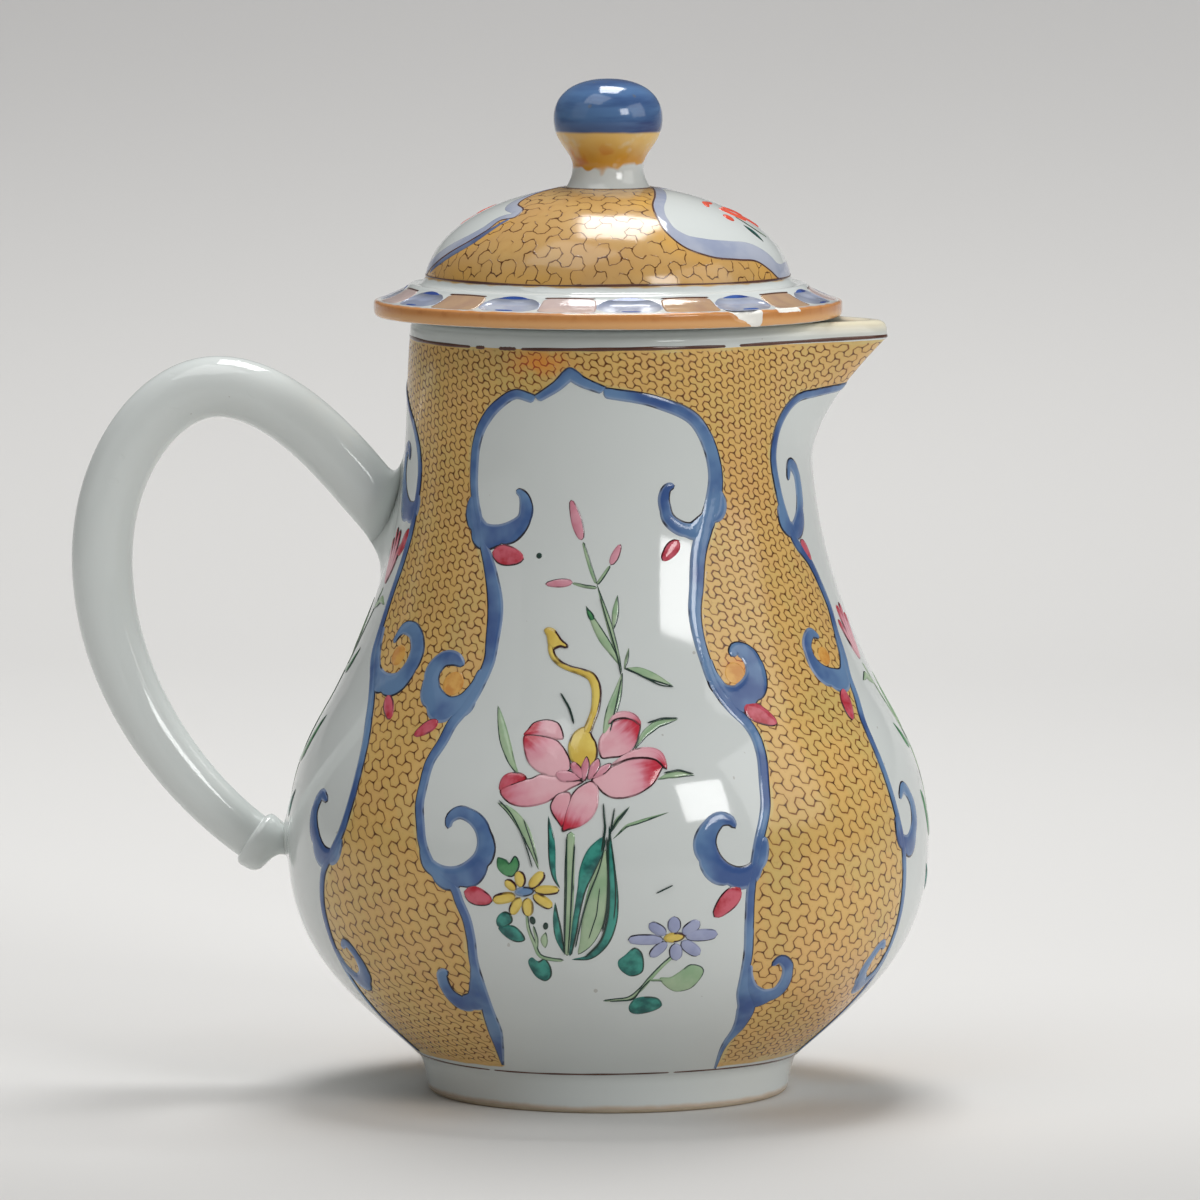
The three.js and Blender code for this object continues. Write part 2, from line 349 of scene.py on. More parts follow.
def opaque(value):
    """Adds the fourth part that a colour socket asks for."""
    if hasattr(value, "__len__") and len(value) == 3:
        return (*value, 1.0)
    return value


def glaze_skin(finish, base):
    """The glaze's own life: faint clouds and a few iron specks."""
    where = finish.place()
    clouds = finish.noise(where, 55.0, 3.0).climb(0.35, 0.7)
    clouded = finish.blend(clouds * 0.35, base, [c * 0.94 for c in base])
    specks = finish.noise(where, 900.0, 0.0).climb(0.87, 0.89) * 0.35
    return finish.blend(specks, clouded, shade(120, 104, 84))


def glaze_ripple(finish):
    return finish.noise(finish.place(), 160.0, 2.0)


def diaper(finish, where, wobble, nib):
    """Pen lines between Y-shaped cells. where is in steps of the honeycomb that the cells are
    cut from: each cell is a hexagon and every second one of its six neighbours."""
    place = finish.place()
    pen = where
    for scale, reach in ((340.0, wobble), (1500.0, wobble * 0.22)):
        drift = finish.noise(place, scale, 1.0, output="Color")
        centred = finish.vector("SUBTRACT", drift, (0.5, 0.5, 0.5))
        pen = finish.vector("MULTIPLY_ADD", centred, (2 * reach, 2 * reach, 0.0), pen)

    # Two rectangular lattices hold the cells' middles; the nearer middle wins.
    half = (math.sqrt(3), 1.0, 1.0)
    back = (-half[0], -half[1], -1.0)
    first = finish.vector("WRAP", pen, half, back)
    shifted = finish.vector("SUBTRACT", pen, (half[0], half[1], 0.0))
    second = finish.vector("WRAP", shifted, half, back)
    reach_one = finish.vector("LENGTH", first, output="Value")
    reach_two = finish.vector("LENGTH", second, output="Value")
    nearer = reach_two.math("LESS_THAN", reach_two, reach_one)
    settings = {"data_type": "VECTOR"}
    local = finish.node("ShaderNodeMix", settings, {0: nearer, 4: first, 5: second}, output=1)
    middle = finish.vector("SUBTRACT", pen, local)
    halves = finish.vector("MULTIPLY_ADD", middle, (2, 2, 0), (0.5, 0.5, 0))
    cell = finish.node("ShaderNodeTexWhiteNoise", values={0: finish.vector("FLOOR", halves)})

    # Folds the three arms onto one, and then that arm's two sides onto each other.
    x, y, _ = finish.parts(local)
    reach = reach_one.at_most(reach_two)
    turn = x.math("ARCTAN2", y, x) - math.radians(30)
    sixty, thirty = math.radians(60), math.radians(30)
    folded = abs(turn.math("WRAP", turn, sixty, -sixty))
    u = reach * folded.math("COSINE", folded)
    v = reach * folded.math("SINE", folded)
    half_edge = 0.5 / math.sqrt(3)
    side = u * math.cos(sixty) + v * math.sin(sixty) - 0.5
    beyond = (-half_edge - (v * math.cos(sixty) - u * math.sin(sixty))).at_least(0.0)
    to_side = (side * side + beyond * beyond) ** 0.5
    across = v * math.cos(thirty) - u * math.sin(thirty)
    out = u * math.cos(thirty) + v * math.sin(thirty)
    short = (2 * half_edge - out).at_least(0.0)
    to_spoke = (across * across + short * short) ** 0.5
    gap = to_side.at_most(to_spoke)
    corner = out - 4 * half_edge
    to_corner = (across * across + corner * corner) ** 0.5

    pressure = finish.noise(place, 900.0, 2.0).climb(0.3, 0.7) * 0.6 + 0.7
    pressed = pressure * (to_corner.fall(0.05, 0.3) * 0.35 + 0.85)
    line = (gap / (nib * pressed)).fall(0.7, 1.15)
    strength = finish.noise(place, 520.0, 3.0).climb(0.25, 0.6) * 0.35 + 0.65
    node = to_corner.fall(0.1, 0.34)
    return line * strength.at_least(node), cell, gap, node


def ochre_ground(finish, where, colours, line, cell, gap, node):
    """Ochre enamel, now tan, now olive, now rosy, under pen lines that darken where they meet;
    what follows colours is what diaper gives."""
    olive = finish.blend(cell.climb(0.55, 1.0) * 0.35, colours.ochre, shade(212, 188, 116))
    pinkish = finish.blend(cell.fall(0.0, 0.35) * 0.3, olive, shade(214, 168, 116))
    wash = finish.noise(where, 45.0, 2.0).climb(0.35, 0.7)
    washed = finish.blend(wash * 0.4, pinkish, shade(202, 164, 96))
    rosy = finish.noise(where, 28.0, 1.0).climb(0.55, 0.75)
    washed = finish.blend(rosy * 0.4, washed, shade(220, 162, 106))
    mossy = finish.noise(where, 70.0, 2.0).climb(0.54, 0.7)
    washed = finish.blend(mossy * 0.45, washed, shade(198, 178, 106))
    # Painted shade: the ochre darkens next to the pen lines and stays lighter in the middle of each
    # cell.
    painted_line_shade = finish.blend(gap.fall(0.04, 0.3) * 0.25, washed, shade(190, 142, 72))
    speckle = finish.noise(where, 1500.0, 1.0).climb(0.62, 0.75) * 0.15
    grained = finish.blend(speckle, painted_line_shade, shade(150, 100, 48))
    pen = finish.blend(node, shade(126, 78, 32), colours.diaper_line)
    return finish.blend(line, grained, pen)


def painted_glaze(settings, colours):
    """The jug's wall: white glaze in the panels, the ochre diaper between them."""
    finish = Finish("painted_glaze")
    where = finish.place()
    turn, up, _ = finish.parts(finish.paint_map())
    steps = settings.diaper_columns * math.sqrt(3)
    # The rows climb round the jug by an even number of steps, so that they close.
    lift = round(0.48 * settings.diaper_columns / 2) * 2
    across = turn * steps
    along = up * (steps * 1.13) + turn * lift
    east, north, _ = finish.parts(where)
    east = east - AXIS.x
    radius = (east * east + north * north) ** 0.5
    nib = (settings.pen_width / 2 * steps / (2 * math.pi)) / radius
    line, *cells = diaper(finish, finish.joined(across, along), 0.15, nib)
    ground = finish.mark("ground")
    edge = ground + (finish.noise(where, 420.0, 1.0) - 0.5) * 0.25
    inked = line * edge.climb(0.05, 0.3)
    ochre = ochre_ground(finish, where, colours, inked, *cells)
    strip = finish.noise(where, 180.0, 1.0).climb(0.45, 0.65) * edge.fall(0.25, 0.6)
    ochre = finish.blend(strip * (1 - inked) * 0.6, ochre, shade(212, 196, 136))
    warm = finish.mark("warm") * finish.noise(where, 260.0, 2.0).climb(0.3, 0.5)
    ochre = finish.blend(warm * (1 - inked), ochre, shade(228, 150, 66))
    ochre = finish.blend(warm * inked * 0.8, ochre, shade(196, 84, 44))
    is_ochre = edge.climb(-0.6, -0.42)
    white = glaze_skin(finish, list(colours.glaze))
    cream = finish.blend(finish.mark("cream") * 0.6, white, shade(238, 222, 178))
    painted = finish.blend(is_ochre, cream, ochre)
    height = inked * 0.6 + is_ochre * 0.5 + glaze_ripple(finish) * 0.5
    finish.relief(height, 0.00004)
    roughness = is_ochre * 0.1 + 0.07 + inked * 0.1
    return finish.set(base_color=painted, roughness=roughness)


def plain_glaze(colours):
    finish = Finish("plain_glaze")
    # Painted light: the plain pieces take a lighter copy of the same glaze, a tenth brighter than
    # on the painted wall.
    white = glaze_skin(finish, [c * 1.1 for c in colours.glaze])
    pinholes = finish.noise(finish.place(), 620.0, 0.0).climb(0.8, 0.84)
    finish.relief(glaze_ripple(finish) * 0.5 - pinholes * 0.4, 0.00004)
    roughness = finish.noise(finish.place(), 80.0) * 0.05 + 0.05
    return finish.set(base_color=white, roughness=roughness)


def foot_finish(colours):
    """Glazed down the outside and bare along the edge that it stands on, burnt warm between."""
    finish = Finish("foot_glaze_and_clay")
    where = finish.place()
    _, _, height = finish.parts(where)
    ragged = height * 1000 + (finish.noise(where, 260.0, 3.0) - 0.5) * 0.7
    glazed = ragged.climb(0.45, 0.65)
    burnt = glazed.at_most(ragged.fall(0.65, 1.3))
    white = glaze_skin(finish, list(colours.glaze))
    clay = finish.blend(finish.noise(where, 400.0, 3.0), colours.clay, shade(172, 152, 124))
    mixed = finish.blend(glazed, clay, white)
    edge = finish.blend(burnt * 0.6, mixed, shade(190, 150, 104))
    finish.relief(finish.noise(where, 2400.0, 2.0) * (1 - glazed) + glazed * 2.0, 0.00003)
    return finish.set(base_color=edge, roughness=0.75 - glazed * 0.66)


def painted_cover(settings, colours):
    finish = Finish("painted_cover")
    where = finish.place()
    per_mm = math.sqrt(3) / (settings.cover_cell * 1000)
    flat = finish.vector("MULTIPLY", finish.paint_map(), (per_mm, per_mm, 0.0))
    line, *cells = diaper(finish, flat, 0.42, settings.pen_width * 400 * per_mm)
    edge = finish.mark("ground") + (finish.noise(where, 380.0, 1.0) - 0.5) * 0.5
    broken = finish.noise(where, 300.0, 2.0).climb(0.36, 0.46)
    inked = line * edge.climb(0.1, 0.5) * broken
    ochre = ochre_ground(finish, where, colours, inked, *cells)
    hazed = finish.noise(where, 60.0, 2.0).climb(0.3, 0.7) * 0.5 + 0.3
    ochre = finish.blend(hazed, ochre, shade(192, 150, 98))
    golden = edge.fall(0.8, 3.5) * finish.noise(where, 90.0, 1.0).climb(0.35, 0.65)
    ochre = finish.blend(golden * 0.6, ochre, shade(218, 166, 76))
    ochre = finish.blend(inked, ochre, colours.diaper_line)
    is_ochre = edge.climb(-0.25, 0.05)
    white = glaze_skin(finish, list(colours.glaze))
    painted = finish.blend(is_ochre, white, ochre)
    rim = finish.mark("rim") + (finish.noise(where, 500.0, 2.0) - 0.5) * 0.2
    _, _, height = finish.parts(where)
    thin = finish.noise(where, 700.0, 3.0).climb(0.45, 0.75)
    deep = finish.blend(thin * 0.5, shade(206, 142, 84), shade(184, 116, 66))
    orange = finish.blend((height * 1000).fall(104.5, 105.3), deep, colours.orange)
    edged = finish.blend(rim.climb(-0.08, 0.06), painted, orange)
    chip = finish.mark("chip") + (finish.noise(where, 900.0, 2.0) - 0.5) * 0.5
    is_bare = chip.climb(-0.05, 0.08)
    bare = finish.blend(is_bare, edged, shade(240, 238, 230))
    finish.relief(inked * 0.6 + is_ochre * 0.4 + glaze_ripple(finish) * 0.5, 0.00004)
    roughness = is_ochre * 0.08 + 0.07 + is_bare * 0.45
    return finish.set(base_color=bare, roughness=roughness)


def painted_knop(colours):
    finish = Finish("painted_knop")
    where = finish.place()
    _, _, height = finish.parts(where)
    tall = height * 1000
    wander = finish.noise(where, 150.0, 2.0) - 0.5
    drips = finish.noise(where, 320.0, 1.0).climb(0.45, 0.8)
    is_blue = (tall + wander * 0.5).climb(128.1, 128.5)
    is_yellow = (tall + wander * 1.2 + drips * 1.6).climb(123.9, 124.5)
    pooled = (tall + wander * 5.0).fall(124.6, 127.4)
    thin = finish.noise(where, 420.0, 2.0).climb(0.55, 0.72)
    yellow = finish.blend(pooled, shade(222, 184, 108), shade(206, 146, 44))
    yellow = finish.blend(thin * 0.5, yellow, shade(222, 208, 180))
    burnt = finish.noise(where, 260.0, 2.0).climb(0.6, 0.7) * pooled
    yellow = finish.blend(burnt * 0.7, yellow, shade(196, 104, 44))
    east, north, _ = finish.parts(where)
    brushed = finish.joined(east * 90, north * 90, tall * 0.55)
    bands = finish.noise(brushed, 1.0, 3.0).climb(0.4, 0.7)
    belt = (tall + wander).fall(128.6, 130.6)
    dark = (bands * 0.6 + belt * 0.6).at_most(1.0)
    blue = finish.blend(dark, shade(84, 118, 162), shade(36, 54, 106))
    flecks = finish.noise(where, 520.0, 1.0).climb(0.7, 0.76)
    blue = finish.blend(flecks * 0.35, blue, shade(120, 112, 84))
    white = glaze_skin(finish, list(colours.glaze))
    body = finish.blend(is_yellow, white, yellow)
    body = finish.blend(is_blue, body, blue)
    finish.relief(is_yellow * 0.8 + is_blue * 1.2 + glaze_ripple(finish) * 0.5, 0.00005)
    return finish.set(base_color=body, roughness=is_yellow * 0.05 + 0.06)


def enamel(
    name, settings, light, deep, tip=None, outline=None, pooling=0.6, nib=1.0, grain=260.0,
    thin_edge=0.0,
):  # fmt: skip
    """A raised enamel: light where it is thin and deep where it has pooled, with a pen outline.
    tip is the colour that it reaches at the far end of a stroke, in streaks, and thin_edge how
    much its inner edge is washed out."""
    finish = Finish(name)
    where = finish.place()
    clouds = finish.noise(where, grain, 3.0).climb(0.38, 0.66)
    body = finish.blend(clouds * pooling, light, deep)
    along, across, _ = finish.parts(finish.paint_map())
    if tip:
        streaks = finish.noise(finish.joined(along * 1.5, across * 9.0), 1.0, 2.0) - 0.5
        soft = along + streaks * 0.4 + (finish.noise(where, 500.0, 2.0) - 0.5) * 0.3
        body = finish.blend(soft.climb(0.35, 0.95) * 0.7, body, shade(218, 128, 150))
        body = finish.blend(soft.climb(0.66, 0.98), body, tip)
    if outline:
        width = settings.line_width * 1000 * nib
        shaken = finish.mark("edge") + (finish.noise(where, 900.0, 2.0) - 0.5) * width
        drawn = shaken.fall(width * 0.75, width * 1.35)
        pen = finish.noise(where, 350.0, 2.0).climb(0.3, 0.5) * 0.5 + 0.5
        lifted = finish.noise(where, 420.0, 1.0).climb(0.25, 0.5) * across.climb(0.5, 0.7)
        washed = finish.mark("edge").fall(0.1, 0.45) * across.climb(0.6, 0.8) * thin_edge
        body = finish.blend(washed, body, shade(160, 178, 204))
        body = finish.blend(drawn * pen * (1 - lifted * 0.8), body, outline)
    finish.relief(finish.noise(where, 1100.0, 2.0), 0.00002)
    return finish.set(base_color=body, roughness=clouds * 0.06 + 0.08)


# ---- Shapes ----


def ease(share):
    """Goes from 0 to 1 with a soft start and end."""
    return share * share * (3 - 2 * share)


def bezier(a, b, c, d, t):
    return (1 - t) ** 3 * a + 3 * (1 - t) ** 2 * t * b + 3 * (1 - t) * t * t * c + t**3 * d


def cubic(start, out, arrive, end, steps):
    """Points of a curve that leaves start along out and reaches end along arrive."""
    a, d = np.array(start, float), np.array(end, float)
    return bezier(a, a + out, d - arrive, d, np.linspace(0, 1, steps + 1)[:, None])


def run_of(points):
    """How far along a line each of its points lies."""
    return np.concatenate([[0], np.cumsum(np.linalg.norm(np.diff(points, axis=0), axis=1))])


def spread(points, count):
    """The same line through evenly spaced points."""
    run = run_of(points)
    want = np.linspace(0, run[-1], count)
    return np.stack([np.interp(want, run, column) for column in points.T], -1)


def pear_outline():
    up = np.array([-math.sin(SHOULDER_LEAN), math.cos(SHOULDER_LEAN)])
    swell, low = BELLY[0] - FOOT_JOINT[0], BELLY[1] - FOOT_JOINT[1]
    high, long = SHOULDER[1] - BELLY[1], RIM - SHOULDER[1]
    under = cubic(FOOT_JOINT, (0.54 * swell, 0.29 * low), (0, 0.51 * low), BELLY, 120)
    over = cubic(BELLY, (0, 0.53 * high), up * 0.21 * high, SHOULDER, 120)
    into = np.array([-0.033, 0.33]) * long
    neck = cubic(SHOULDER, up * 0.52 * long, into, (MOUTH, RIM), 200)
    return np.vstack([under, over[1:], neck[1:]])


def dome_outline(radius=DOME, rise=DOME_RISE, count=120):
    turn = np.linspace(0, math.pi / 2, count)
    return np.stack([radius * np.cos(turn), SPRINGING + rise * np.sin(turn)], -1)


def keel_reach(height):
    share = (height - RIM + SPOUT_DEPTH) / (SPOUT_DEPTH - SPOUT_TIP)
    return SPOUT_REACH * np.clip(share, 0, 1) ** KEEL_RISE


def near_to(angle, centre):
    """The same angle, counted so that it lies within half a turn of centre."""
    return centre + (angle - centre + math.pi) % (2 * math.pi) - math.pi


def beak_share(angle):
    """How much of the keel's reach the wall has at an angle."""
    turn = near_to(angle, math.pi / 2) - math.pi / 2
    away = np.maximum(0, 1 - np.hypot(turn, KEEL_ROUND) / BEAK_HALF)
    return (away / (1 - KEEL_ROUND / BEAK_HALF)) ** BEAK_FLARE


def round_axis(radius, angle, height):
    """Points at angles from the front, at a radius and a height."""
    return np.stack(
        np.broadcast_arrays(radius * np.sin(angle), -radius * np.cos(angle), height), -1
    )


class TurnedFace:
    """A turned outer face. A place on it is an angle from the front, positive towards the spout,
    and a rise, which grows up the outline so that small shapes keep their form at any radius."""

    def __init__(self, outline, beaked=False):
        self.radius, self.height = outline.T
        steps = np.hypot(np.diff(self.radius), np.diff(self.height))
        middles = (self.radius[1:] + self.radius[:-1]) / 2
        self.rises = np.concatenate([[0], np.cumsum(steps / middles)])
        self.beaked = beaked

    def rise(self, height):
        return np.interp(height, self.height, self.rises)

    def size(self, rise):
        return np.interp(rise, self.rises, self.radius)

    def places(self, corners):
        """Corners in degrees and millimetres as places on the face."""
        corners = np.array(corners, float)
        return np.stack([np.radians(corners[:, 0]), self.rise(corners[:, 1])], -1)

    def bare(self, angle, rise):
        """Points on the face, before anything stands up from it."""
        radius, height = self.size(rise), np.interp(rise, self.rises, self.height)
        if self.beaked:
            radius = radius + keel_reach(height) * beak_share(angle)
        return round_axis(radius, angle, height)

    def at(self, angle, rise, lift):
        small = 1e-3
        rise = np.clip(rise, small, self.rises[-1] - small)
        along = self.bare(angle + small, rise) - self.bare(angle - small, rise)
        up = self.bare(angle, rise + small) - self.bare(angle, rise - small)
        normal = np.cross(along, up)
        normal /= np.linalg.norm(normal, axis=-1, keepdims=True)
        return self.bare(angle, rise) + normal * np.asarray(lift)[..., None]


PEAR = pear_outline()
BODY = TurnedFace(PEAR, beaked=True)
DOME_FACE = TurnedFace(dome_outline(DOME_SKIN)[:-6])


def net(rows, columns, closed):
    """Corners of the quads of a grid of points, and the same with the joining column numbered on,
    so that a map can run the whole way round."""
    reach = columns if closed else columns - 1
    row, column = np.meshgrid(np.arange(rows - 1), np.arange(reach), indexing="ij")
    nodes, after = [], (column + 1) % columns
    for r, c in ((row, column), (row, after), (row + 1, after), (row + 1, column)):
        nodes.append(r * columns + c)
    wide = columns + 1 if closed else columns
    cells = [row * wide + column, row * wide + column + 1]
    cells += [(row + 1) * wide + column + 1, (row + 1) * wide + column]
    return np.stack(nodes, -1).reshape(-1, 4), np.stack(cells, -1).reshape(-1, 4)


def tube_faces(rows, columns):
    """Quads round a tube of points, then a lid on each of its ends."""
    last = (rows - 1) * columns
    lids = [list(range(columns))[::-1], list(range(last, last + columns))]
    return net(rows, columns, True)[0].tolist() + lids


def fans(columns, last, total):
    """Triangles from the last two of total points to the first ring and to the ring at last."""
    made = []
    for i in range(columns):
        j = (i + 1) % columns
        made += [[total - 2, j, i], [total - 1, last + i, last + j]]
    return made


def piece(name, points, faces, body, slot, materials, replaces=()):
    """A smooth mesh from points in millimetres about the jug's axis, riding on its body."""
    mesh = bpy.data.meshes.new(name)
    placed = np.asarray(points) * MM + np.array(AXIS)
    mesh.from_pydata(placed.tolist(), [], [list(f) for f in faces])
    mesh.polygons.foreach_set("use_smooth", np.ones(len(mesh.polygons), bool))
    for material in materials:
        mesh.materials.append(material)
    made = bpy.data.objects.new(name, mesh)
    bpy.context.scene.collection.objects.link(made)
    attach(made, body)
    if replaces:
        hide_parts(*replaces)
    if mesh.validate():
        raise RuntimeError(f"{name} has faces that don't fit together")
    return made


def paint_uv(made, corner_values):
    layer = made.data.uv_layers.new(name="paint")
    layer.data.foreach_set("uv", np.asarray(corner_values, np.float32).ravel())


def mark(made, name, values):
    """Gives every point a number that its material reads."""
    attribute = made.data.attributes.new(name, "FLOAT", "POINT")
    attribute.data.foreach_set("value", np.asarray(values, np.float32).ravel())


def corner_points(made):
    numbers = np.zeros(len(made.data.loops), np.int32)
    made.data.loops.foreach_get("vertex_index", numbers)
    return numbers


def tube(name, rings, *rest):
    """A closed piece through rings of points, with a lid on each end."""
    faces = tube_faces(len(rings), len(rings[0]))
    return piece(name, np.reshape(rings, (-1, 3)), faces, *rest)


def turned(name, outline, columns, *rest):
    """A turned piece from its outline: closed on itself, or running from axis to axis."""
    outline = np.asarray(outline, float)
    angles = np.linspace(-math.pi, math.pi, columns, endpoint=False)
    on_axis = outline[0, 0] < 1e-6
    body = outline[1:-1] if on_axis else np.vstack([outline, outline[:1]])
    points = round_axis(body[:, :1], angles, body[:, 1:]).reshape(-1, 3)
    faces = net(len(body), columns, True)[0]
    if not on_axis:
        points = points[: (len(body) - 1) * columns]
        faces = faces % len(points)
        return piece(name, points, faces, *rest)
    points = np.vstack([points, [[0, 0, outline[0, 1]]], [[0, 0, outline[-1, 1]]]])
    ends = fans(columns, (len(body) - 1) * columns, len(points))
    return piece(name, points, faces.tolist() + ends, *rest)


def rounded(corners, steps=5):
    """A closed outline through corners of (radius, height, rounding)."""
    corners = np.asarray(corners, float)
    line = []
    for k, (x, y, bend) in enumerate(corners):
        here = np.array([x, y])
        back = corners[k - 1, :2] - here
        on = corners[(k + 1) % len(corners), :2] - here
        a = here + back / np.linalg.norm(back) * bend
        b = here + on / np.linalg.norm(on) * bend
        if bend < 1e-6:
            line.append(here)
            continue
        for t in np.linspace(0, 1, steps + 1):
            line.append((1 - t) ** 2 * a + 2 * (1 - t) * t * here + t * t * b)
    return np.array(line)


def inset(polygon, points):
    """How far points lie inside a closed outline, negative outside it."""
    start, end = polygon, np.roll(polygon, -1, axis=0)
    edge = end - start
    off = points[:, None] - start[None]
    share = (off * edge).sum(-1) / np.maximum((edge * edge).sum(-1), 1e-12)
    nearest = off - np.clip(share, 0, 1)[..., None] * edge
    gap = np.sqrt((nearest * nearest).sum(-1)).min(1)
    above = (start[:, 1] > points[:, None, 1]) != (end[:, 1] > points[:, None, 1])
    slope = np.divide(edge[:, 0], edge[:, 1], out=np.zeros(len(edge)), where=edge[:, 1] != 0)
    cross = points[:, None, 0] < start[:, 0] + slope * (points[:, None, 1] - start[:, 1])
    inside = (above & cross).sum(1) % 2 == 1
    return np.where(inside, gap, -gap)


# ---- Painting ----
# Places are (degrees round from the front, height in millimetres), widths are in millimetres.

# The ochre's edge along the front panel's left border, from the peak to the foot.
FRONT_LEFT = [
    (-4.8, 98.7), (-14.3, 95.0), (-21.1, 95.7), (-26.9, 94.3), (-30.9, 92.6), (-33.7, 90.6),
    (-35.3, 88.2), (-35.7, 85.3), (-35.4, 82.9), (-34.5, 80.7), (-32.4, 77.9), (-30.7, 75.6),
    (-28.7, 73.3), (-26.8, 70.7), (-24.8, 66.9), (-23.8, 63.1), (-23.3, 60.6), (-24.2, 58.5),
    (-26.0, 55.5), (-28.5, 52.7), (-29.4, 50.3), (-30.8, 47.8), (-31.0, 44.6), (-31.0, 42.1),
    (-30.3, 39.8), (-29.2, 36.7), (-27.3, 34.2), (-24.5, 32.2), (-22.7, 31.4), (-21.8, 29.7),
    (-20.6, 27.5), (-20.2, 25.2), (-20.4, 22.2), (-20.6, 18.8), (-21.2, 15.2), (-22.3, 12.2),
    (-23.2, 9.9), (-25.4, 6.3),
]  # fmt: skip
FRONT_RIGHT = [
    (-4.8, 98.7), (4.6, 96.2), (20.4, 94.9), (32.6, 92.2), (37.6, 88.4), (39.5, 84.2), (38.3, 80.4),
    (35.5, 77.5), (32.7, 74.3), (30.8, 70.0), (29.3, 66.6), (29.2, 63.6), (30.0, 60.7),
    (31.0, 57.9), (33.5, 55.2), (36.5, 52.9), (37.6, 51.1), (37.8, 48.9), (37.0, 45.2),
    (36.3, 41.8), (35.5, 40.0), (34.2, 37.3), (33.3, 34.5), (32.7, 32.2), (32.7, 27.0),
    (33.3, 23.4), (33.7, 20.2), (35.0, 18.0), (37.6, 15.9), (38.4, 12.0), (37.1, 10.0), (38.9, 5.7),
]  # fmt: skip
HANDLE_EDGE = [
    (-90.0, 95.6), (-80.0, 94.4), (-71.5, 92.2), (-64.5, 89.8), (-60.0, 87.0), (-58.0, 84.0),
    (-58.0, 80.2), (-58.6, 76.2), (-60.0, 72.1), (-61.6, 67.3), (-61.3, 63.9), (-60.1, 60.5),
    (-55.8, 57.5), (-53.1, 55.3), (-50.6, 52.8), (-47.8, 49.6), (-46.3, 45.2), (-46.7, 40.5),
    (-48.2, 37.1), (-51.0, 34.0), (-54.0, 31.5), (-55.5, 28.0), (-56.0, 23.5), (-56.5, 19.0),
    (-58.0, 14.5), (-60.5, 10.5), (-62.0, 6.3),
]  # fmt: skip
SPOUT_EDGE = [
    (90.0, 95.2), (78.0, 94.8), (69.2, 94.2), (60.8, 90.6), (57.8, 86.5), (58.7, 82.2),
    (60.9, 78.2), (65.1, 74.0), (70.0, 71.5), (73.0, 68.5), (74.2, 66.0), (73.1, 62.8),
    (72.4, 59.9), (70.6, 57.3), (69.9, 54.5), (67.8, 51.4), (67.4, 48.7), (67.5, 46.0),
    (68.5, 40.0), (70.5, 34.0), (71.5, 28.0), (72.5, 22.0), (74.0, 16.0), (75.0, 11.0),
    (75.5, 6.0),
]  # fmt: skip


def mirrored(path, middle):
    return [(2 * middle - angle, height) for angle, height in path]


def panel(*edges):
    """A closed panel from its two edges, each running down from the top."""
    near, far = edges
    below = [(near[-1][0], FOOT_JOINT[1]), (far[-1][0], FOOT_JOINT[1])]
    return BODY.places([*near, *below, *reversed(far)])


def leave_white(depth, panels, angle, rise, radius):
    """Takes white panels, each a middle in degrees and an outline, out of a depth in the ochre."""
    for middle, outline in panels:
        near = near_to(angle, math.radians(middle))
        gap = inset(outline, np.stack([near, rise], -1))
        depth = np.minimum(depth, -gap * radius)
    return depth


def ochre_depth(angle, rise):
    """How far places on the jug's wall lie in the ochre, in millimetres, and negative in white."""
    panels = [
        (2.0, panel(FRONT_LEFT, FRONT_RIGHT)),
        (178.0, panel(mirrored(FRONT_LEFT, 90), mirrored(FRONT_RIGHT, 90))),
        (-90.0, panel(HANDLE_EDGE, mirrored(HANDLE_EDGE, -90))),
        (90.0, panel(SPOUT_EDGE, mirrored(SPOUT_EDGE, 90))),
    ]
    radius, height = BODY.size(rise), np.interp(rise, BODY.rises, BODY.height)
    depth = np.minimum((LIP_LINE - height) * 2 - 0.7, height - FOOT_LINE - 1.05)
    return leave_white(depth, panels, angle, rise, radius)


def flow(knots, spacing):
    """A smooth line through knots, whose first two columns are places and the rest what goes
    along with them."""
    chord = np.linalg.norm(np.diff(knots[:, :2], axis=0), axis=1)
    at = np.concatenate([[0], np.cumsum(np.maximum(chord, 1e-9))])
    slope = np.gradient(knots, at, axis=0)
    want = np.linspace(0, at[-1], max(14, int(at[-1] / spacing)))
    k = np.clip(np.searchsorted(at, want, "right") - 1, 0, len(at) - 2)
    span = (at[k + 1] - at[k])[:, None]
    x = (want - at[k])[:, None] / span
    rest = knots[k] * (2 * x**3 - 3 * x**2 + 1) + knots[k + 1] * (3 * x**2 - 2 * x**3)
    return rest + span * (slope[k] * (x**3 - 2 * x**2 + x) + slope[k + 1] * (x**3 - x**2))


# How wide a stroke is along its length, as shares of its width
LEAF = (0.1, 0.55, 0.85, 1.0, 0.95, 0.75, 0.45, 0.1)
PETAL = (0.5, 0.8, 0.97, 1.0, 0.97, 0.85, 0.6)
BUD = (0.45, 0.85, 1.0, 0.92, 0.7, 0.35)
LINE = (0.8, 1.0, 1.0, 0.9, 0.6)
# Where a stroke's points lie across it, and how deep its sides stand in the glaze
ACROSS = np.array([-1, -1, -0.94, -0.8, -0.5, -0.2, 0.2, 0.5, 0.8, 0.94, 1, 1])
SUNK = 0.04


def loop_through(corners, steps=6):
    """A smooth closed line through corners."""
    a, b = corners, np.roll(corners, -1, axis=0)
    before, after = np.roll(corners, 1, axis=0), np.roll(corners, -2, axis=0)
    line = []
    for t in np.arange(steps) / steps:
        pull = (t**3 - 2 * t * t + t) * (b - before) / 2 + (t**3 - t * t) * (after - a) / 2
        line.append(a + (b - a) * ease(t) + pull)
    return np.stack(line, 1).reshape(-1, 2)


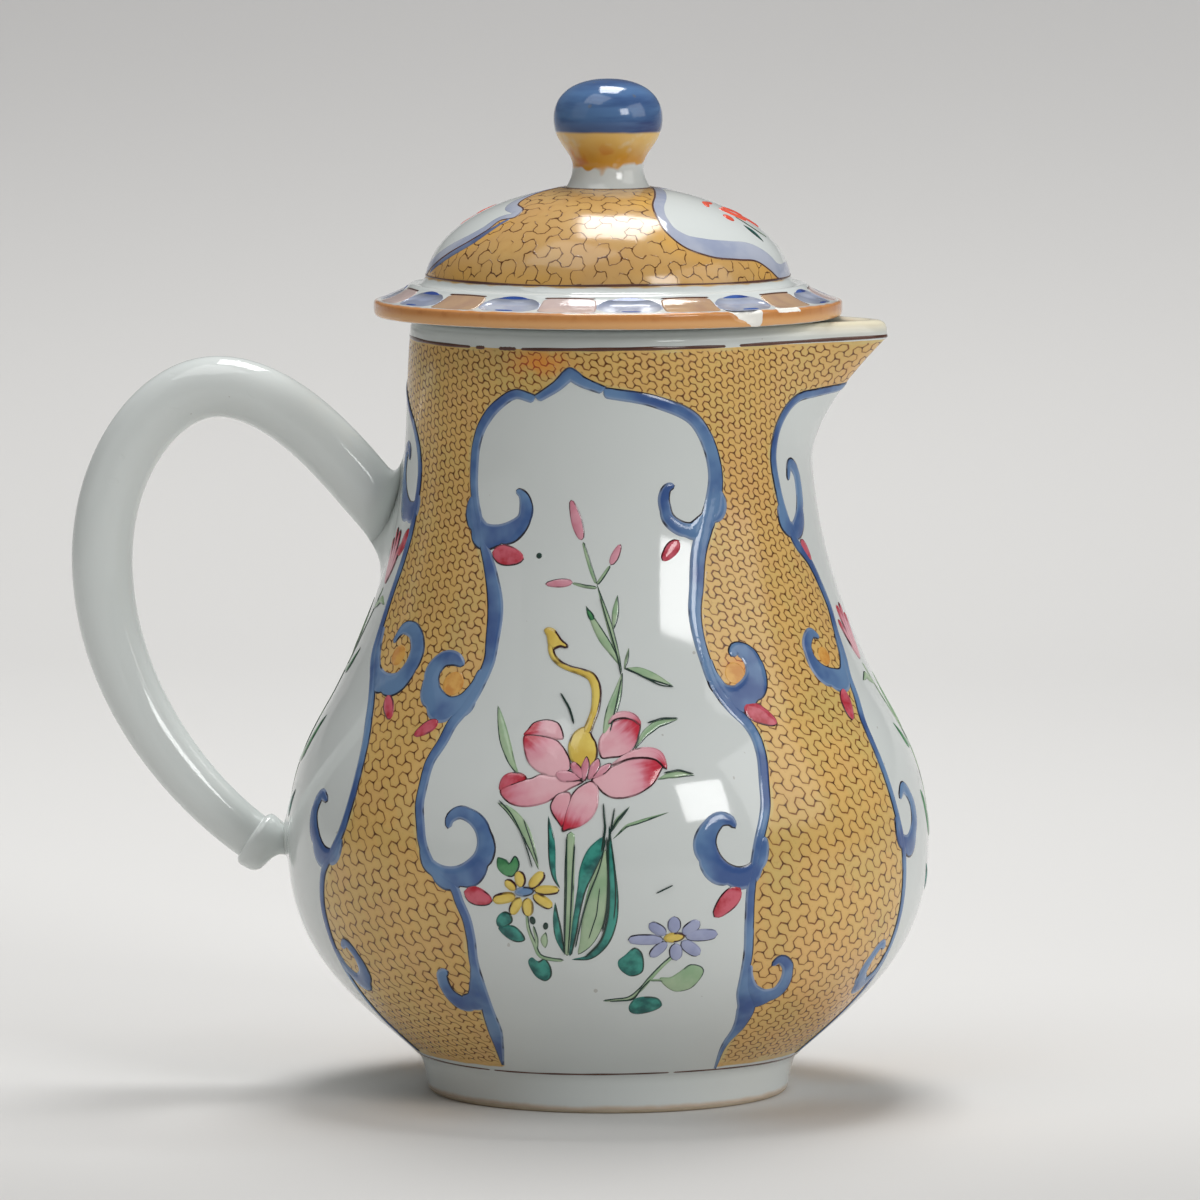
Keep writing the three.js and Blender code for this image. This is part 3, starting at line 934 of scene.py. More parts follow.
def sideways(offsets, run, ahead, bumps):
    """How far the points of a stroke lie to the left of its line: scalloped on the outer side of
    its bend, and held back on the inner side, so that they don't cross over."""
    bend = np.gradient(np.unwrap(np.arctan2(ahead[:, 1], ahead[:, 0])), run + 1e-9)
    if bumps:
        share = run / run[-1]
        lobes = np.abs(np.sin(math.pi * bumps * share)) ** 0.6 - 0.4
        swell = 1 + 0.6 * lobes * np.clip(1.6 - 1.8 * share, 0.1, 1)
        outer = np.sign(offsets) == -np.sign(bend.mean())
        offsets = np.where(outer, offsets * swell[:, None], offsets)
    way = np.sign(bend)[:, None]
    tight = 0.8 / np.maximum(np.abs(bend), 1e-3)[:, None]
    return np.where(way * offsets > tight, way * tight, offsets)


class Brushwork:
    """Strokes and patches of raised enamel on one face, gathered into one piece."""

    def __init__(self, face, pigments, height, turn=0.0):
        self.face = face
        self.pigments = pigments
        self.height = height
        self.turn = turn
        self.points, self.faces, self.maps, self.edges, self.fills = [], [], [], [], []
        self.beds = {}
        self.count = 0

    def add(self, pigment, points, faces, along, across, edge):
        self.points.append(points)
        self.faces += [[self.count + n for n in f] for f in faces]
        self.maps.append(np.stack([along, across], -1))
        self.edges.append(edge)
        self.fills += [list(self.pigments).index(pigment)] * len(faces)
        self.count += len(points)

    def on_face(self, path):
        return self.face.places(np.array(path, float) + [self.turn, 0])

    def line(self, path, width, form):
        """Places along a stroke, each with its width."""
        path = np.array(path, float)
        if form is None:
            widths = np.broadcast_to(np.asarray(width, float), len(path))
        else:
            path = spread(path, max(len(form), len(path)))
            shares = np.linspace(0, 1, len(path))
            widths = width * np.interp(shares, np.linspace(0, 1, len(form)), form)
        return flow(np.column_stack([self.on_face(path), widths]), 0.009)

    def stroke(
        self, pigment, path, width, form=None, level=0.0, side=0, crown=1.0, bumps=0, bed=None
    ):
        """A brush stroke. width is one number with a form along the stroke, or one for each knot.
        side moves it over to the left (1) or right (-1) of its path, bumps scallop its outer side,
        and strokes with the same bed flow into the first of them without an outline between."""
        line = self.line(path, width, form)
        radius = self.face.size(line[:, 1])
        step = np.linalg.norm(np.diff(line[:, :2], axis=0), axis=1)
        run = np.concatenate([[0], np.cumsum(step * (radius[1:] + radius[:-1]) / 2)])
        # Both ends are rounded.
        wide = np.maximum(line[:, 2], 0.05)
        for to_end in (run, run[-1] - run):
            part = np.clip(to_end / (0.5 * wide + 1e-9), 0, 1)
            line[:, 2] *= np.sqrt(np.clip(1 - (1 - part) ** 2, 0.0004, 1))
        half = line[:, 2] / 2
        ahead = np.gradient(line[:, :2], axis=0)
        ahead /= np.linalg.norm(ahead, axis=1, keepdims=True) + 1e-12
        left = np.stack([-ahead[:, 1], ahead[:, 0]], -1)
        offsets = sideways((ACROSS[None] + side) * half[:, None], run, ahead, bumps)
        place = line[:, None, :2] + left[:, None] * (offsets / radius[:, None])[..., None]
        tall = np.minimum(self.height * crown, 0.22 * half + 0.02)
        lift = level + tall[:, None] * (1 - np.abs(ACROSS) ** 3)[None]
        edge = (1 - np.abs(ACROSS))[None] * half[:, None]
        if bed in self.beds:
            deep = inset(self.beds[bed], place.reshape(-1, 2)).reshape(edge.shape)
            deep = deep * radius[:, None]
            edge = np.maximum(edge, deep)
            lift -= (lift + SUNK / 2) * ease(np.clip((deep - 0.2) / 0.9, 0, 1))
        elif bed:
            self.beds[bed] = np.vstack([place[:, 0], place[::-1, -1]])
        lift[:, [0, -1]] = -SUNK
        points = self.face.at(place[..., 0], place[..., 1], lift).reshape(-1, 3)
        rows, columns = lift.shape
        faces = [face[::-1] for face in tube_faces(rows, columns)]
        along = np.repeat(run / run[-1], columns)
        across = np.tile((-ACROSS if side < 0 else ACROSS) * 0.5 + 0.5, rows)
        self.add(pigment, points, faces, along, across, edge.ravel())

    def patch(self, pigment, corners, base=None, tip=None, level=0.0, crown=1.0):
        """A filled shape with a smooth outline through corners; its colour runs from base to
        tip."""
        ring = loop_through(self.on_face(corners))
        middle = ring.mean(0)
        radius = float(self.face.size(middle[1]))
        shares = np.array([0.3, 0.6, 0.8, 0.92, 1.0, 1.0])
        last = (len(shares) - 1) * len(ring)
        grid = middle + shares[:, None, None] * (ring - middle)
        spots = np.vstack([grid.reshape(-1, 2), middle[None], middle[None]])
        edge = np.maximum(inset(ring, spots) * radius, 0)
        tall = min(self.height * crown, 0.3 * edge[-1])
        lift = level + tall * (1 - np.append(np.repeat(shares, len(ring)), [0, 0]) ** 4)
        lift[last:-2] = -SUNK
        lift[-1] = -SUNK
        points = self.face.at(spots[:, 0], spots[:, 1], lift)
        faces = net(len(shares), len(ring), True)[0].tolist()
        faces += fans(len(ring), last, len(spots))
        if turned_left(ring):
            faces = [face[::-1] for face in faces]
        start, end = self.on_face([base, tip]) if tip else (middle, middle + (0, 1 / radius))
        reach = end - start
        along = ((spots - start) @ reach) / (reach @ reach) if tip else np.full(len(spots), 0.3)
        across = ((spots - start) @ np.array([-reach[1], reach[0]])) / (reach @ reach) + 0.5
        self.add(pigment, points, faces, along, across, edge)

    def spot(self, pigment, middle, wide, tall, lean=0.0, level=0.0, crown=1.0):
        """A round patch, leaning by degrees."""
        rise = self.face.rise(middle[1])
        radius = float(self.face.size(rise))
        around = np.linspace(0, 2 * math.pi, 9)[:-1]
        x, y = wide / 2 * np.cos(around), tall / 2 * np.sin(around)
        tilt = math.radians(lean)
        u, v = x * math.cos(tilt) - y * math.sin(tilt), x * math.sin(tilt) + y * math.cos(tilt)
        heights = np.interp(rise + v / radius, self.face.rises, self.face.height)
        corners = np.column_stack([middle[0] + np.degrees(u / radius), heights])
        self.patch(pigment, corners, level=level, crown=crown)

    def build(self, name, body, slot):
        used = sorted(set(self.fills))
        names = list(self.pigments)
        materials = [self.pigments[names[k]] for k in used]
        made = piece(name, np.vstack(self.points), self.faces, body, slot, materials)
        fills = [used.index(k) for k in self.fills]
        made.data.polygons.foreach_set("material_index", np.array(fills, np.int32))
        paint_uv(made, np.vstack(self.maps)[corner_points(made)])
        mark(made, "edge", np.concatenate(self.edges))
        return made


def turned_left(ring):
    """Whether a closed outline runs anticlockwise."""
    x, y = ring.T
    return (x * np.roll(y, -1) - np.roll(x, -1) * y).sum() > 0


def pigments(settings, colours):
    """One material for each enamel, made once and shared by every piece that is painted."""

    def mixed(name, light, deep, **more):
        return bpy.data.materials.get(name) or enamel(name, settings, light, deep, **more)

    ink = list(colours.outline)
    pen = shade(54, 24, 30)
    leaf_pen = shade(38, 62, 54)
    return {
        "blue": mixed(
            "blue_enamel", colours.blue, colours.deep_blue, outline=ink, pooling=0.9, grain=130.0,
            thin_edge=0.6,
        ),
        "grey_blue": mixed(
            "grey_blue_enamel", colours.grey_blue, shade(148, 158, 184), pooling=0.9, grain=150.0
        ),
        "brown": mixed("brown_pen", colours.brown, shade(70, 44, 38)),
        "rose": mixed(
            "rose_enamel", colours.rose, shade(222, 152, 164), tip=colours.deep_rose, outline=pen
        ),
        "bud": mixed(
            "bud_enamel", shade(206, 96, 112), shade(176, 30, 46), outline=pen, pooling=1.0,
            grain=420.0,
        ),
        "pale_bud": mixed(
            "pale_bud_enamel", shade(218, 156, 170), shade(190, 90, 112), outline=pen, nib=0.7
        ),
        "sage": mixed("sage_enamel", colours.sage, shade(124, 166, 124), outline=leaf_pen, nib=0.8),
        "green": mixed(
            "green_enamel", colours.green, shade(40, 98, 66), outline=leaf_pen, grain=600.0
        ),
        "teal": mixed(
            "teal_enamel", colours.teal, shade(14, 74, 74), outline=leaf_pen, pooling=0.9,
            grain=420.0,
        ),
        "ink": mixed("leaf_pen", leaf_pen, shade(30, 46, 44)),
        "yellow": mixed("yellow_enamel", colours.yellow, shade(204, 166, 62), outline=pen, nib=1.3),
        "mauve": mixed("mauve_enamel", colours.mauve, shade(134, 142, 180), outline=ink, nib=0.7),
        "orange": mixed(
            "orange_enamel", shade(226, 172, 88), shade(208, 140, 62), grain=700.0, pooling=0.9
        ),
        "red": mixed("iron_red_enamel", colours.iron_red, shade(210, 70, 54)),
        "khaki": mixed("khaki_wash", shade(186, 154, 122), shade(170, 138, 116), pooling=0.8),
        "mauve_wash": mixed("mauve_wash", shade(204, 184, 178), shade(186, 164, 160), pooling=0.8),
        "brim_blue": mixed("brim_blue", shade(62, 94, 164), shade(30, 54, 128), pooling=0.9),
        "slate": mixed("slate_blue", shade(110, 124, 156), shade(86, 100, 138), pooling=0.9),
    }


def brush(scene, face, turn=0.0):
    """Takes up the brush for one face."""
    sizes = scene.jug_sizes
    return Brushwork(face, pigments(sizes, scene.jug_colours), sizes.enamel_height / MM, turn)


# ---- Steps of the work ----


def throw_jug(scene):
    """The wall with its beak, inside and out, and the lip between."""
    share = np.linspace(-1, 1, 81)
    beak = math.pi / 2 + BEAK_HALF * np.sign(share) * np.abs(share) ** 1.5
    before = np.linspace(-math.pi, beak[0], 190)[:-1]
    after = np.linspace(beak[-1], math.pi, 52)[1:-1]
    angles = np.concatenate([before, beak, after])
    outside = spread(PEAR[PEAR[:, 1] < RIM - LIP_TOP], 160)
    ahead = np.gradient(PEAR, axis=0)
    ahead /= np.linalg.norm(ahead, axis=1, keepdims=True)
    inner = PEAR + np.stack([-ahead[:, 1], ahead[:, 0]], -1) * WALL
    inner = inner[(inner[:, 1] > FLOOR + 2) & (inner[:, 1] < RIM - LIP_TOP)]
    inside = spread(inner, 70)[::-1]
    bend = cubic(inside[-1], (-1.2, -1.6), (-2.5, 0), (inside[-1][0] - 5, FLOOR), 8)[1:]
    # Each row is a radius, a height and how deep it lies behind the outside.
    under = [(0.4, 5.7), (14.0, 5.5), (20.5, 5.0), (25.2, 4.8)]
    rows = [(r, z, 0.0) for r, z in (*under, *outside)]
    for turn in np.linspace(0, math.pi, 11):
        depth = LIP_HALF * (1 - math.cos(turn))
        rows.append((MOUTH - depth, RIM - LIP_TOP * (1 - math.sin(turn)), depth))
    rows += [(r, z, WALL) for r, z in (*inside[1:], *bend)]
    rows += [(r, FLOOR, WALL) for r in (16.0, 8.0, 0.4)]
    radius, height, depth = np.array(rows).T[:, :, None]
    reach = np.maximum(0, keel_reach(height) - depth * (KEEL_WALL / WALL - 1))
    grid = round_axis(radius + reach * beak_share(angles)[None], angles, height)
    columns = len(angles)
    glaze = [painted_glaze(scene.jug_sizes, scene.jug_colours)]
    nodes = ("jug_body", "beak_spout")
    made = tube("thrown_jug", grid, "jug", "painted_glaze", glaze, nodes)
    cells = net(len(rows), columns, True)[1]
    rises = BODY.rise(height[:, 0])
    turns = np.append(angles, math.pi)
    grid_map = np.stack(np.meshgrid(rises, turns, indexing="ij")[::-1], -1) / (2 * math.pi)
    corner_map = grid_map.reshape(-1, 2)[cells.ravel()]
    paint_uv(made, np.vstack([corner_map, np.zeros((2 * columns, 2))]))
    depths = np.full((len(rows), columns), -10.0)
    wall = slice(len(under), len(under) + len(outside))
    rise_grid, angle_grid = np.meshgrid(rises[wall], angles, indexing="ij")
    found = ochre_depth(angle_grid.ravel(), rise_grid.ravel())
    depths[wall] = found.reshape(rise_grid.shape)
    mark(made, "ground", depths)
    # A burnt patch under the lip and another in a scroll, and a creamy glaze on the spout's lip.
    front = np.degrees(angles)[None]
    peak = np.exp(-(((front + 14) / 8) ** 2) - ((height - 99.2) / 1.8) ** 2)
    hook = np.exp(-(((front - 36.5) / 3) ** 2) - ((height - 59.2) / 2) ** 2)
    mark(made, "warm", np.clip(peak + hook, 0, 1))
    cream = np.exp(-(((front - 84) / 22) ** 2)) * np.clip((height - 101.5) / 1.5, 0, 1)
    mark(made, "cream", np.broadcast_to(cream, depths.shape))


def turn_foot(scene):
    corners = [
        (21.5, 5.4, 0.3), (21.5, 0.0, 0.6), (24.0, 0.0, 0.6), (24.5, 2.6, 0.8), (25.1, 4.6, 0.6),
        (25.7, 5.3, 0.1),
    ]  # fmt: skip
    outline = rounded(corners)[::-1]
    material = [foot_finish(scene.jug_colours)]
    turned("turned_foot", outline, 160, "jug", "bare_clay", material, ("foot_ring",))


def rod_line():
    """The middle of the handle's rod in X and Z, with the radius there."""
    wall = float(np.interp(UPPER_ROOT, PEAR[:, 1], PEAR[:, 0]))
    upper = (-(wall + UPPER_REACH), UPPER_ROOT)
    climb, fall = LOOP_TOP[1] - upper[1], LOOP_TOP[1] - LOOP_SIDE[1]
    drop = LOOP_SIDE[1] - LOWER_END[1]
    reach = LOOP_TOP[0] - LOOP_SIDE[0]
    parts = [
        cubic(upper, (-0.27 * climb, 0.31 * climb), (-0.65 * climb, 0), LOOP_TOP, 40),
        cubic(LOOP_TOP, (-0.5 * reach, 0), (0, -0.56 * fall), LOOP_SIDE, 40)[1:],
        cubic(LOOP_SIDE, (0, -0.51 * drop), (0.19 * drop, -0.125 * drop), LOWER_END, 50)[1:],
    ]
    share = np.concatenate([np.zeros(81), np.linspace(0, 1, 51)[1:]])
    thick = ROD + (ROD_END - ROD) * ease(share)
    return spread(np.column_stack([np.vstack(parts), thick]), 110)


def ring_round(middle, ahead, size):
    """A ring of points about a place on the handle's line; it starts at the loop's outer side."""
    across = np.array([0.0, 1.0, 0.0])
    up = np.cross(across, [ahead[0], 0, ahead[1]])
    turn = np.linspace(0, 2 * math.pi, ROD_SIDES, endpoint=False)[:, None]
    centre = np.array([middle[0], 0, middle[1]])
    return centre + up * size * np.cos(turn) + across * size * ROD_FLAT * np.sin(turn)


def luted(ring, ahead, centre, tall, wide, pull, settle):
    """Rings that flare from the end of a rod to an oval on the jug's wall, meeting it flush."""
    turn = np.linspace(0, 2 * math.pi, ROD_SIDES, endpoint=False)
    angle = BEHIND + np.sin(turn) * wide / float(BODY.size(BODY.rise(centre)))
    rises = BODY.rise(centre + np.cos(turn) * tall)
    level = np.zeros(ROD_SIDES)
    foot = BODY.at(angle, rises, level - 0.05)
    normal = BODY.at(angle, rises, level + 1) - BODY.at(angle, rises, level)
    toward = BODY.at(level + BEHIND, level + float(BODY.rise(centre)), level) - foot
    toward -= normal * (toward * normal).sum(1, keepdims=True)
    toward /= np.linalg.norm(toward, axis=1, keepdims=True)
    span = np.linalg.norm(foot - ring, axis=1, keepdims=True)
    leave = ring + np.array([ahead[0], 0, ahead[1]]) * span * pull
    arrive = foot + toward * span * settle
    rings = [bezier(ring, leave, arrive, foot, t) for t in np.linspace(0, 1, 15)[1:]]
    return [*rings, foot - normal * 0.6]


def pull_handle(scene):
    """The loop of clay, its flared upper root, and the stub that its lower end is luted to."""
    line = rod_line()
    ahead = np.gradient(line[:, :2], axis=0)
    ahead /= np.linalg.norm(ahead, axis=1, keepdims=True)
    rings = [ring_round(place, way, place[2]) for place, way in zip(line, ahead)]
    flare = luted(
        rings[0], -ahead[0], centre=77.6, tall=11.5, wide=7.9, pull=0.42, settle=0.42
    )
    finish = ("jug", "plain_glaze", [plain_glaze(scene.jug_colours)])
    tube("pulled_handle", flare[::-1] + rings, *finish, ("loop_handle", "upper_handle_root"))

    stub = []
    for back_by, size in ((0.9, 3.0), (0.75, 3.55), (0.4, 3.95), (0.0, 4.05), (-0.6, 4.0)):
        stub.append(ring_round(line[-1, :2] - ahead[-1] * back_by, ahead[-1], size))
    stub += luted(stub[-1], ahead[-1], centre=31.2, tall=12.8, wide=9.3, pull=0.3, settle=0.5)
    tube("lower_root_stub", stub, *finish, ("lower_handle_root",))


# One half of each of the cover's reserves, from the crown down: the ochre's edge, and the width
# of the border inside it.
COVER_RIGHT = [
    (88, 120.9), (72, 120.8), (42, 120.0), (31, 118.9), (28.6, 117.6), (28.8, 115.9), (33, 114.1),
    (42, 112.7), (54, 112.1), (63, 111.7), (69, 110.5), (74, 109.3), (88, 108.9),
]  # fmt: skip
COVER_LEFT = [
    (-100, 120.9), (-82, 120.8), (-66, 120.1), (-54, 119.0), (-41, 118.3), (-40, 117.5),
    (-46.5, 117.0), (-47.5, 115.9), (-53, 114.2), (-61, 112.6), (-69, 111.0), (-78, 109.4),
    (-100, 108.9),
]  # fmt: skip
RIGHT_MIDDLE, LEFT_MIDDLE = 88, -100
RIGHT_BORDER = (1.2, 1.3, 1.5, 1.5, 1.4, 1.8, 2.6, 3.2, 3.2, 3.1, 3.0, 2.5, 2.3)
LEFT_BORDER = (1.2, 1.3, 1.7, 1.8, 1.6, 1.5, 1.5, 1.7, 1.8, 1.9, 1.9, 1.9, 1.9)
BRIM_LINE = cubic(BRIM_EDGE, (-1.2, 0.15), (-0.9, 1.0), (26.6, 107.85), 24)


def reserve(half, widths, middle):
    """The whole edge of a reserve from its half, with the width of its border at each knot."""
    whole = half + mirrored(half, middle)[-2:0:-1]
    return whole, list(widths) + list(widths)[-2:0:-1]


def chip_depth(turn, radius, height):
    """How deep the chip in the orange edge, and the sliver beside it, reach in from their rims."""
    share = np.clip((height - 104.0) / 2.2, 0, 1)
    chip = (1.4 + 3.9 * share - np.abs(turn - 44.6 + 3.4 * share)) * 0.54
    chip = np.minimum(chip, (106.55 - height) * 1.6)
    sliver = np.minimum((4.2 - np.abs(turn - 56)) * 0.3, (height - 105.5) * 1.6)
    chip = np.maximum(chip, np.minimum(sliver, (106.1 - height) * 1.6))
    return np.where((radius > 28.8) & (height > 103.85), np.maximum(chip, -2), -2)


def turn_dome(finish):
    """The dome and its brim as one skin, marked for its paint and chipped at the edge."""
    rim = [(COLLAR_INSIDE, SEAT, 0), (BRIM, SEAT, 0.7), (BRIM, 105.8, 0.3), (*BRIM_EDGE, 0)]
    bead = [
        (26.4, 108.04), (26.15, 108.14), (25.85, 108.1), (25.4, 108.04), (24.95, 108.14),
        (24.62, 108.45), (24.42, 108.85),
    ]  # fmt: skip
    dome = dome_outline(DOME_SKIN, DOME_RISE, 90)
    dome = dome[dome[:, 1] > 109.1][:-1]
    hollow = dome_outline(DOME - COVER_WALL, DOME_RISE - COVER_WALL, 40)[3:-1][::-1]
    low, high = [[0, CROWN - COVER_WALL]], [[0, CROWN]]
    outline = np.vstack([low, hollow, rounded(rim)[:-1], BRIM_LINE, bead, dome, high])
    made = turned(
        "turned_cover", outline, 288, "cover", "painted_cover", [finish], ("domed_cover",)
    )
    points = np.zeros(len(made.data.vertices) * 3)
    made.data.vertices.foreach_get("co", points)
    points = points.reshape(-1, 3)
    x, y, z = ((points - np.array(AXIS)) / MM).T
    radius, angle = np.hypot(x, y), np.arctan2(x, -y)

    # Only the outside is painted: it lies above the middle of the dome's wall.
    half_way = 1 - (radius / (DOME - 1.1)) ** 2
    under = SPRINGING + (DOME_RISE - 1.2) * np.sqrt(np.clip(half_way, 0, 1))
    panels = []
    for half, middle in ((COVER_LEFT, LEFT_MIDDLE), (COVER_RIGHT, RIGHT_MIDDLE)):
        panels.append((middle, DOME_FACE.places(reserve(half, half, middle)[0])))
    depth = np.minimum(z - COVER_LINE, 4.0)
    depth = leave_white(depth, panels, angle, DOME_FACE.rise(z), radius)
    mark(made, "ground", np.where((z > 108.3) & (z > under), depth, -10))
    # The orange runs up the brim's edge and no further in.
    mark(made, "rim", np.where(radius > 30.0, np.minimum(z - 103.92, 105.96 - z), -1))

    turn = np.degrees(angle)
    chip = chip_depth(turn, radius, z)
    mark(made, "chip", chip)
    dent = np.clip(chip / 1.2, 0, 1) * (1 + 0.35 * np.sin(turn * 2.1) * np.cos(z * 5.0))
    inward = np.stack([0.5 * x / np.maximum(radius, 1), 0.5 * y / np.maximum(radius, 1)])
    points -= (dent * MM * np.vstack([inward, np.full(len(dent), 0.25)])).T
    made.data.vertices.foreach_set("co", points.ravel())

    slopes = dome_outline(DOME, DOME_RISE, 200)[::-1]
    from_top = np.interp(radius, slopes[:, 0], run_of(slopes))
    flat = np.stack([from_top * np.sin(angle), -from_top * np.cos(angle)], -1)
    paint_uv(made, flat[corner_points(made)])


def turn_cover(scene):
    """The domed cover with its brim, the collar that sits in the mouth, and the knop."""
    colours = scene.jug_colours
    turn_dome(painted_cover(scene.jug_sizes, colours))

    low, high = 97.5, 104.0
    collar = rounded([
        (COLLAR_INSIDE, low, 0.5), (COLLAR_OUTSIDE, low, 0.7),
        (COLLAR_OUTSIDE, high, 0), (COLLAR_INSIDE, high, 0),
    ])  # fmt: skip
    glaze = [plain_glaze(colours)]
    turned("cover_flange", collar[::-1], 160, "cover", "plain_glaze", glaze, ("cover_collar",))

    seat = SPRINGING + DOME_RISE * math.sqrt(1 - (KNOP_BASE / DOME) ** 2)
    neck, widest, top = (4.72, CROWN + 2.3), (7.25, CROWN + 8.7), (0.0, CROWN + 14.0)
    parts = [
        np.array([[0, seat - 1.0], [KNOP_BASE + 0.1, seat - 0.6]]),
        cubic((KNOP_BASE + 0.1, seat - 0.15), (-0.6, 0.7), (0, 0.9), neck, 10),
        cubic(neck, (0.0, 2.1), (0, 3.4), widest, 22)[1:],
        cubic(widest, (0, 3.4), (-4.4, 0), top, 24)[1:],
    ]
    glaze, outline = [painted_knop(colours)], np.vstack(parts)
    turned("turned_knop", outline, 112, "cover", "painted_knop", glaze, ("ball_knop",))


# Hooks that curl off the borders: path, width at each of its points, scallops on the outer side.
# Each starts inside its ribbon.
FRONT_HOOKS = [
    ([(-34.2, 81.5), (-32.8, 78.6), (-29.4, 76.6), (-24.9, 76.5), (-20.1, 77.3), (-17.1, 78.8),
      (-16.8, 80.6), (-18.1, 82.0), (-20.0, 82.5)],
     (1.2, 2.3, 3.1, 2.9, 2.7, 2.1, 1.9, 1.3, 0.8), 4),
    ([(38.0, 82.5), (36.6, 79.9), (32.3, 78.1), (28.9, 77.3), (25.0, 77.9), (22.3, 79.1),
      (21.6, 80.4), (21.4, 81.6), (22.6, 82.9), (24.6, 83.2)],
     (1.4, 2.4, 2.5, 2.3, 1.9, 1.8, 1.7, 1.6, 1.3, 0.8), 4),
    ([(-23.0, 59.5), (-24.0, 57.0), (-26.4, 54.9), (-29.5, 54.3), (-33.4, 55.2), (-35.7, 56.9),
      (-36.0, 59.0), (-33.7, 60.4), (-30.5, 60.4), (-28.0, 59.7)],
     (1.2, 2.0, 3.0, 3.4, 3.4, 2.9, 2.7, 2.4, 1.9, 0.9), 6),
    ([(29.2, 61.0), (29.8, 58.6), (31.4, 56.6), (34.6, 55.9), (38.1, 56.7), (40.4, 58.5),
      (40.5, 60.3), (38.7, 61.6), (36.4, 61.9), (34.9, 61.0)],
     (1.0, 1.7, 2.7, 3.5, 3.7, 3.2, 2.9, 2.4, 1.9, 1.1), 4),
    ([(-28.6, 37.0), (-26.8, 34.6), (-24.0, 33.3), (-20.9, 33.2), (-18.2, 34.2), (-16.3, 35.9),
      (-15.9, 37.9), (-16.9, 39.8), (-19.0, 41.1), (-21.4, 41.5), (-23.1, 40.7), (-23.4, 39.3)],
     (1.0, 1.8, 2.6, 3.0, 3.0, 2.7, 2.4, 2.1, 1.9, 1.8, 1.5, 0.8), 6),
    ([(34.6, 38.5), (33.6, 35.8), (32.0, 34.0), (29.6, 33.4), (26.4, 34.0), (24.0, 35.8),
      (23.3, 38.2), (24.3, 39.8), (26.5, 40.9), (28.1, 40.6), (29.0, 39.6)],
     (1.0, 1.7, 2.4, 2.7, 3.0, 3.2, 3.0, 2.6, 2.0, 1.5, 0.7), 5),
    ([(-19.6, 21.5), (-20.2, 18.8), (-21.6, 16.4), (-24.8, 15.8), (-26.9, 16.9), (-27.4, 18.6),
      (-26.8, 19.9), (-25.4, 20.3)], (1.0, 1.8, 3.0, 3.0, 2.3, 1.9, 1.6, 0.8), 4),
    ([(33.0, 21.5), (33.4, 19.6), (35.2, 17.3), (38.2, 16.5), (41.5, 17.1), (42.4, 19.2),
      (41.5, 21.0), (39.4, 21.8), (37.9, 21.0)], (1.0, 1.7, 3.0, 3.0, 2.4, 1.9, 1.7, 1.4, 0.8), 4),
]  # fmt: skip
FRONT_BUDS = [
    ((-25.8, 74.3), (-16.3, 73.6), 2.8), ((25.0, 76.1), (20.1, 73.5), 1.9),
    ((-30.7, 52.7), (-35.7, 50.6), 2.0), ((35.3, 54.8), (42.5, 52.3), 2.8),
    ((-19.9, 31.3), (-14.5, 30.2), 2.5), ((29.6, 32.0), (24.8, 28.2), 2.7),
]  # fmt: skip
FRONT_EYES = [(-29.7, 57.4, 3.3), (35.2, 58.9, 3.0)]
HANDLE_HOOKS = [
    ([(-58.6, 81.0), (-60.5, 79.0), (-64.5, 78.4), (-69.5, 79.4), (-73.5, 81.6), (-75.0, 84.2),
      (-73.0, 86.2), (-70.0, 86.4), (-68.5, 85.0)],
     (1.2, 2.2, 3.0, 3.2, 3.0, 2.8, 2.4, 1.8, 0.9), 4),
    ([(-61.4, 63.4), (-59.6, 60.3), (-56.0, 57.6), (-51.4, 56.5), (-46.6, 56.9), (-43.7, 59.0),
      (-43.7, 61.6), (-46.9, 63.5), (-50.9, 63.6), (-53.6, 61.6)],
     (1.0, 1.7, 2.4, 3.0, 3.1, 2.9, 2.6, 2.3, 1.8, 0.9), 5),
    ([(-48.6, 36.6), (-51.4, 34.2), (-55.0, 34.0), (-58.6, 36.4), (-60.0, 39.4), (-58.0, 41.6),
      (-55.2, 41.0)], (1.0, 2.0, 2.8, 2.7, 2.3, 1.8, 0.9), 4),
    ([(-56.9, 21.5), (-56.6, 18.6), (-53.4, 17.0), (-50.2, 18.0), (-49.4, 20.6), (-51.6, 22.4),
      (-54.0, 21.6)], (1.0, 2.0, 2.8, 2.4, 1.9, 1.5, 0.8), 4),
]  # fmt: skip
HANDLE_BUDS = [((-48.2, 55.1), (-44.0, 52.2), 2.0), ((-61.5, 76.2), (-66.5, 72.4), 1.9)]
HANDLE_EYES = [(-49.6, 60.2, 2.9)]
SPOUT_HOOKS = [
    ([(60.0, 80.0), (62.0, 77.4), (65.6, 76.2), (70.0, 77.6), (72.2, 80.8), (71.0, 84.0),
      (67.8, 85.0), (66.0, 82.8)], (1.0, 2.0, 2.4, 2.5, 2.1, 1.9, 1.6, 0.9), 4),
    ([(73.6, 62.6), (72.4, 59.4), (69.6, 57.2), (65.0, 57.0), (60.8, 58.1), (58.7, 59.9),
      (58.9, 61.7), (62.0, 63.0), (64.9, 62.3)], (1.0, 1.7, 2.6, 3.2, 2.7, 2.1, 1.9, 1.6, 0.8), 4),
    ([(68.9, 39.0), (70.8, 35.6), (74.0, 34.8), (77.4, 36.8), (78.0, 40.2), (75.0, 42.2),
      (72.0, 41.0)], (1.0, 2.0, 2.8, 2.6, 2.2, 1.8, 0.9), 4),
    ([(73.2, 20.6), (73.2, 17.4), (70.4, 16.2), (67.4, 17.4), (66.8, 20.0), (69.0, 21.8),
      (71.0, 21.0)], (1.0, 2.0, 2.8, 2.3, 1.9, 1.5, 0.8), 4),
]  # fmt: skip
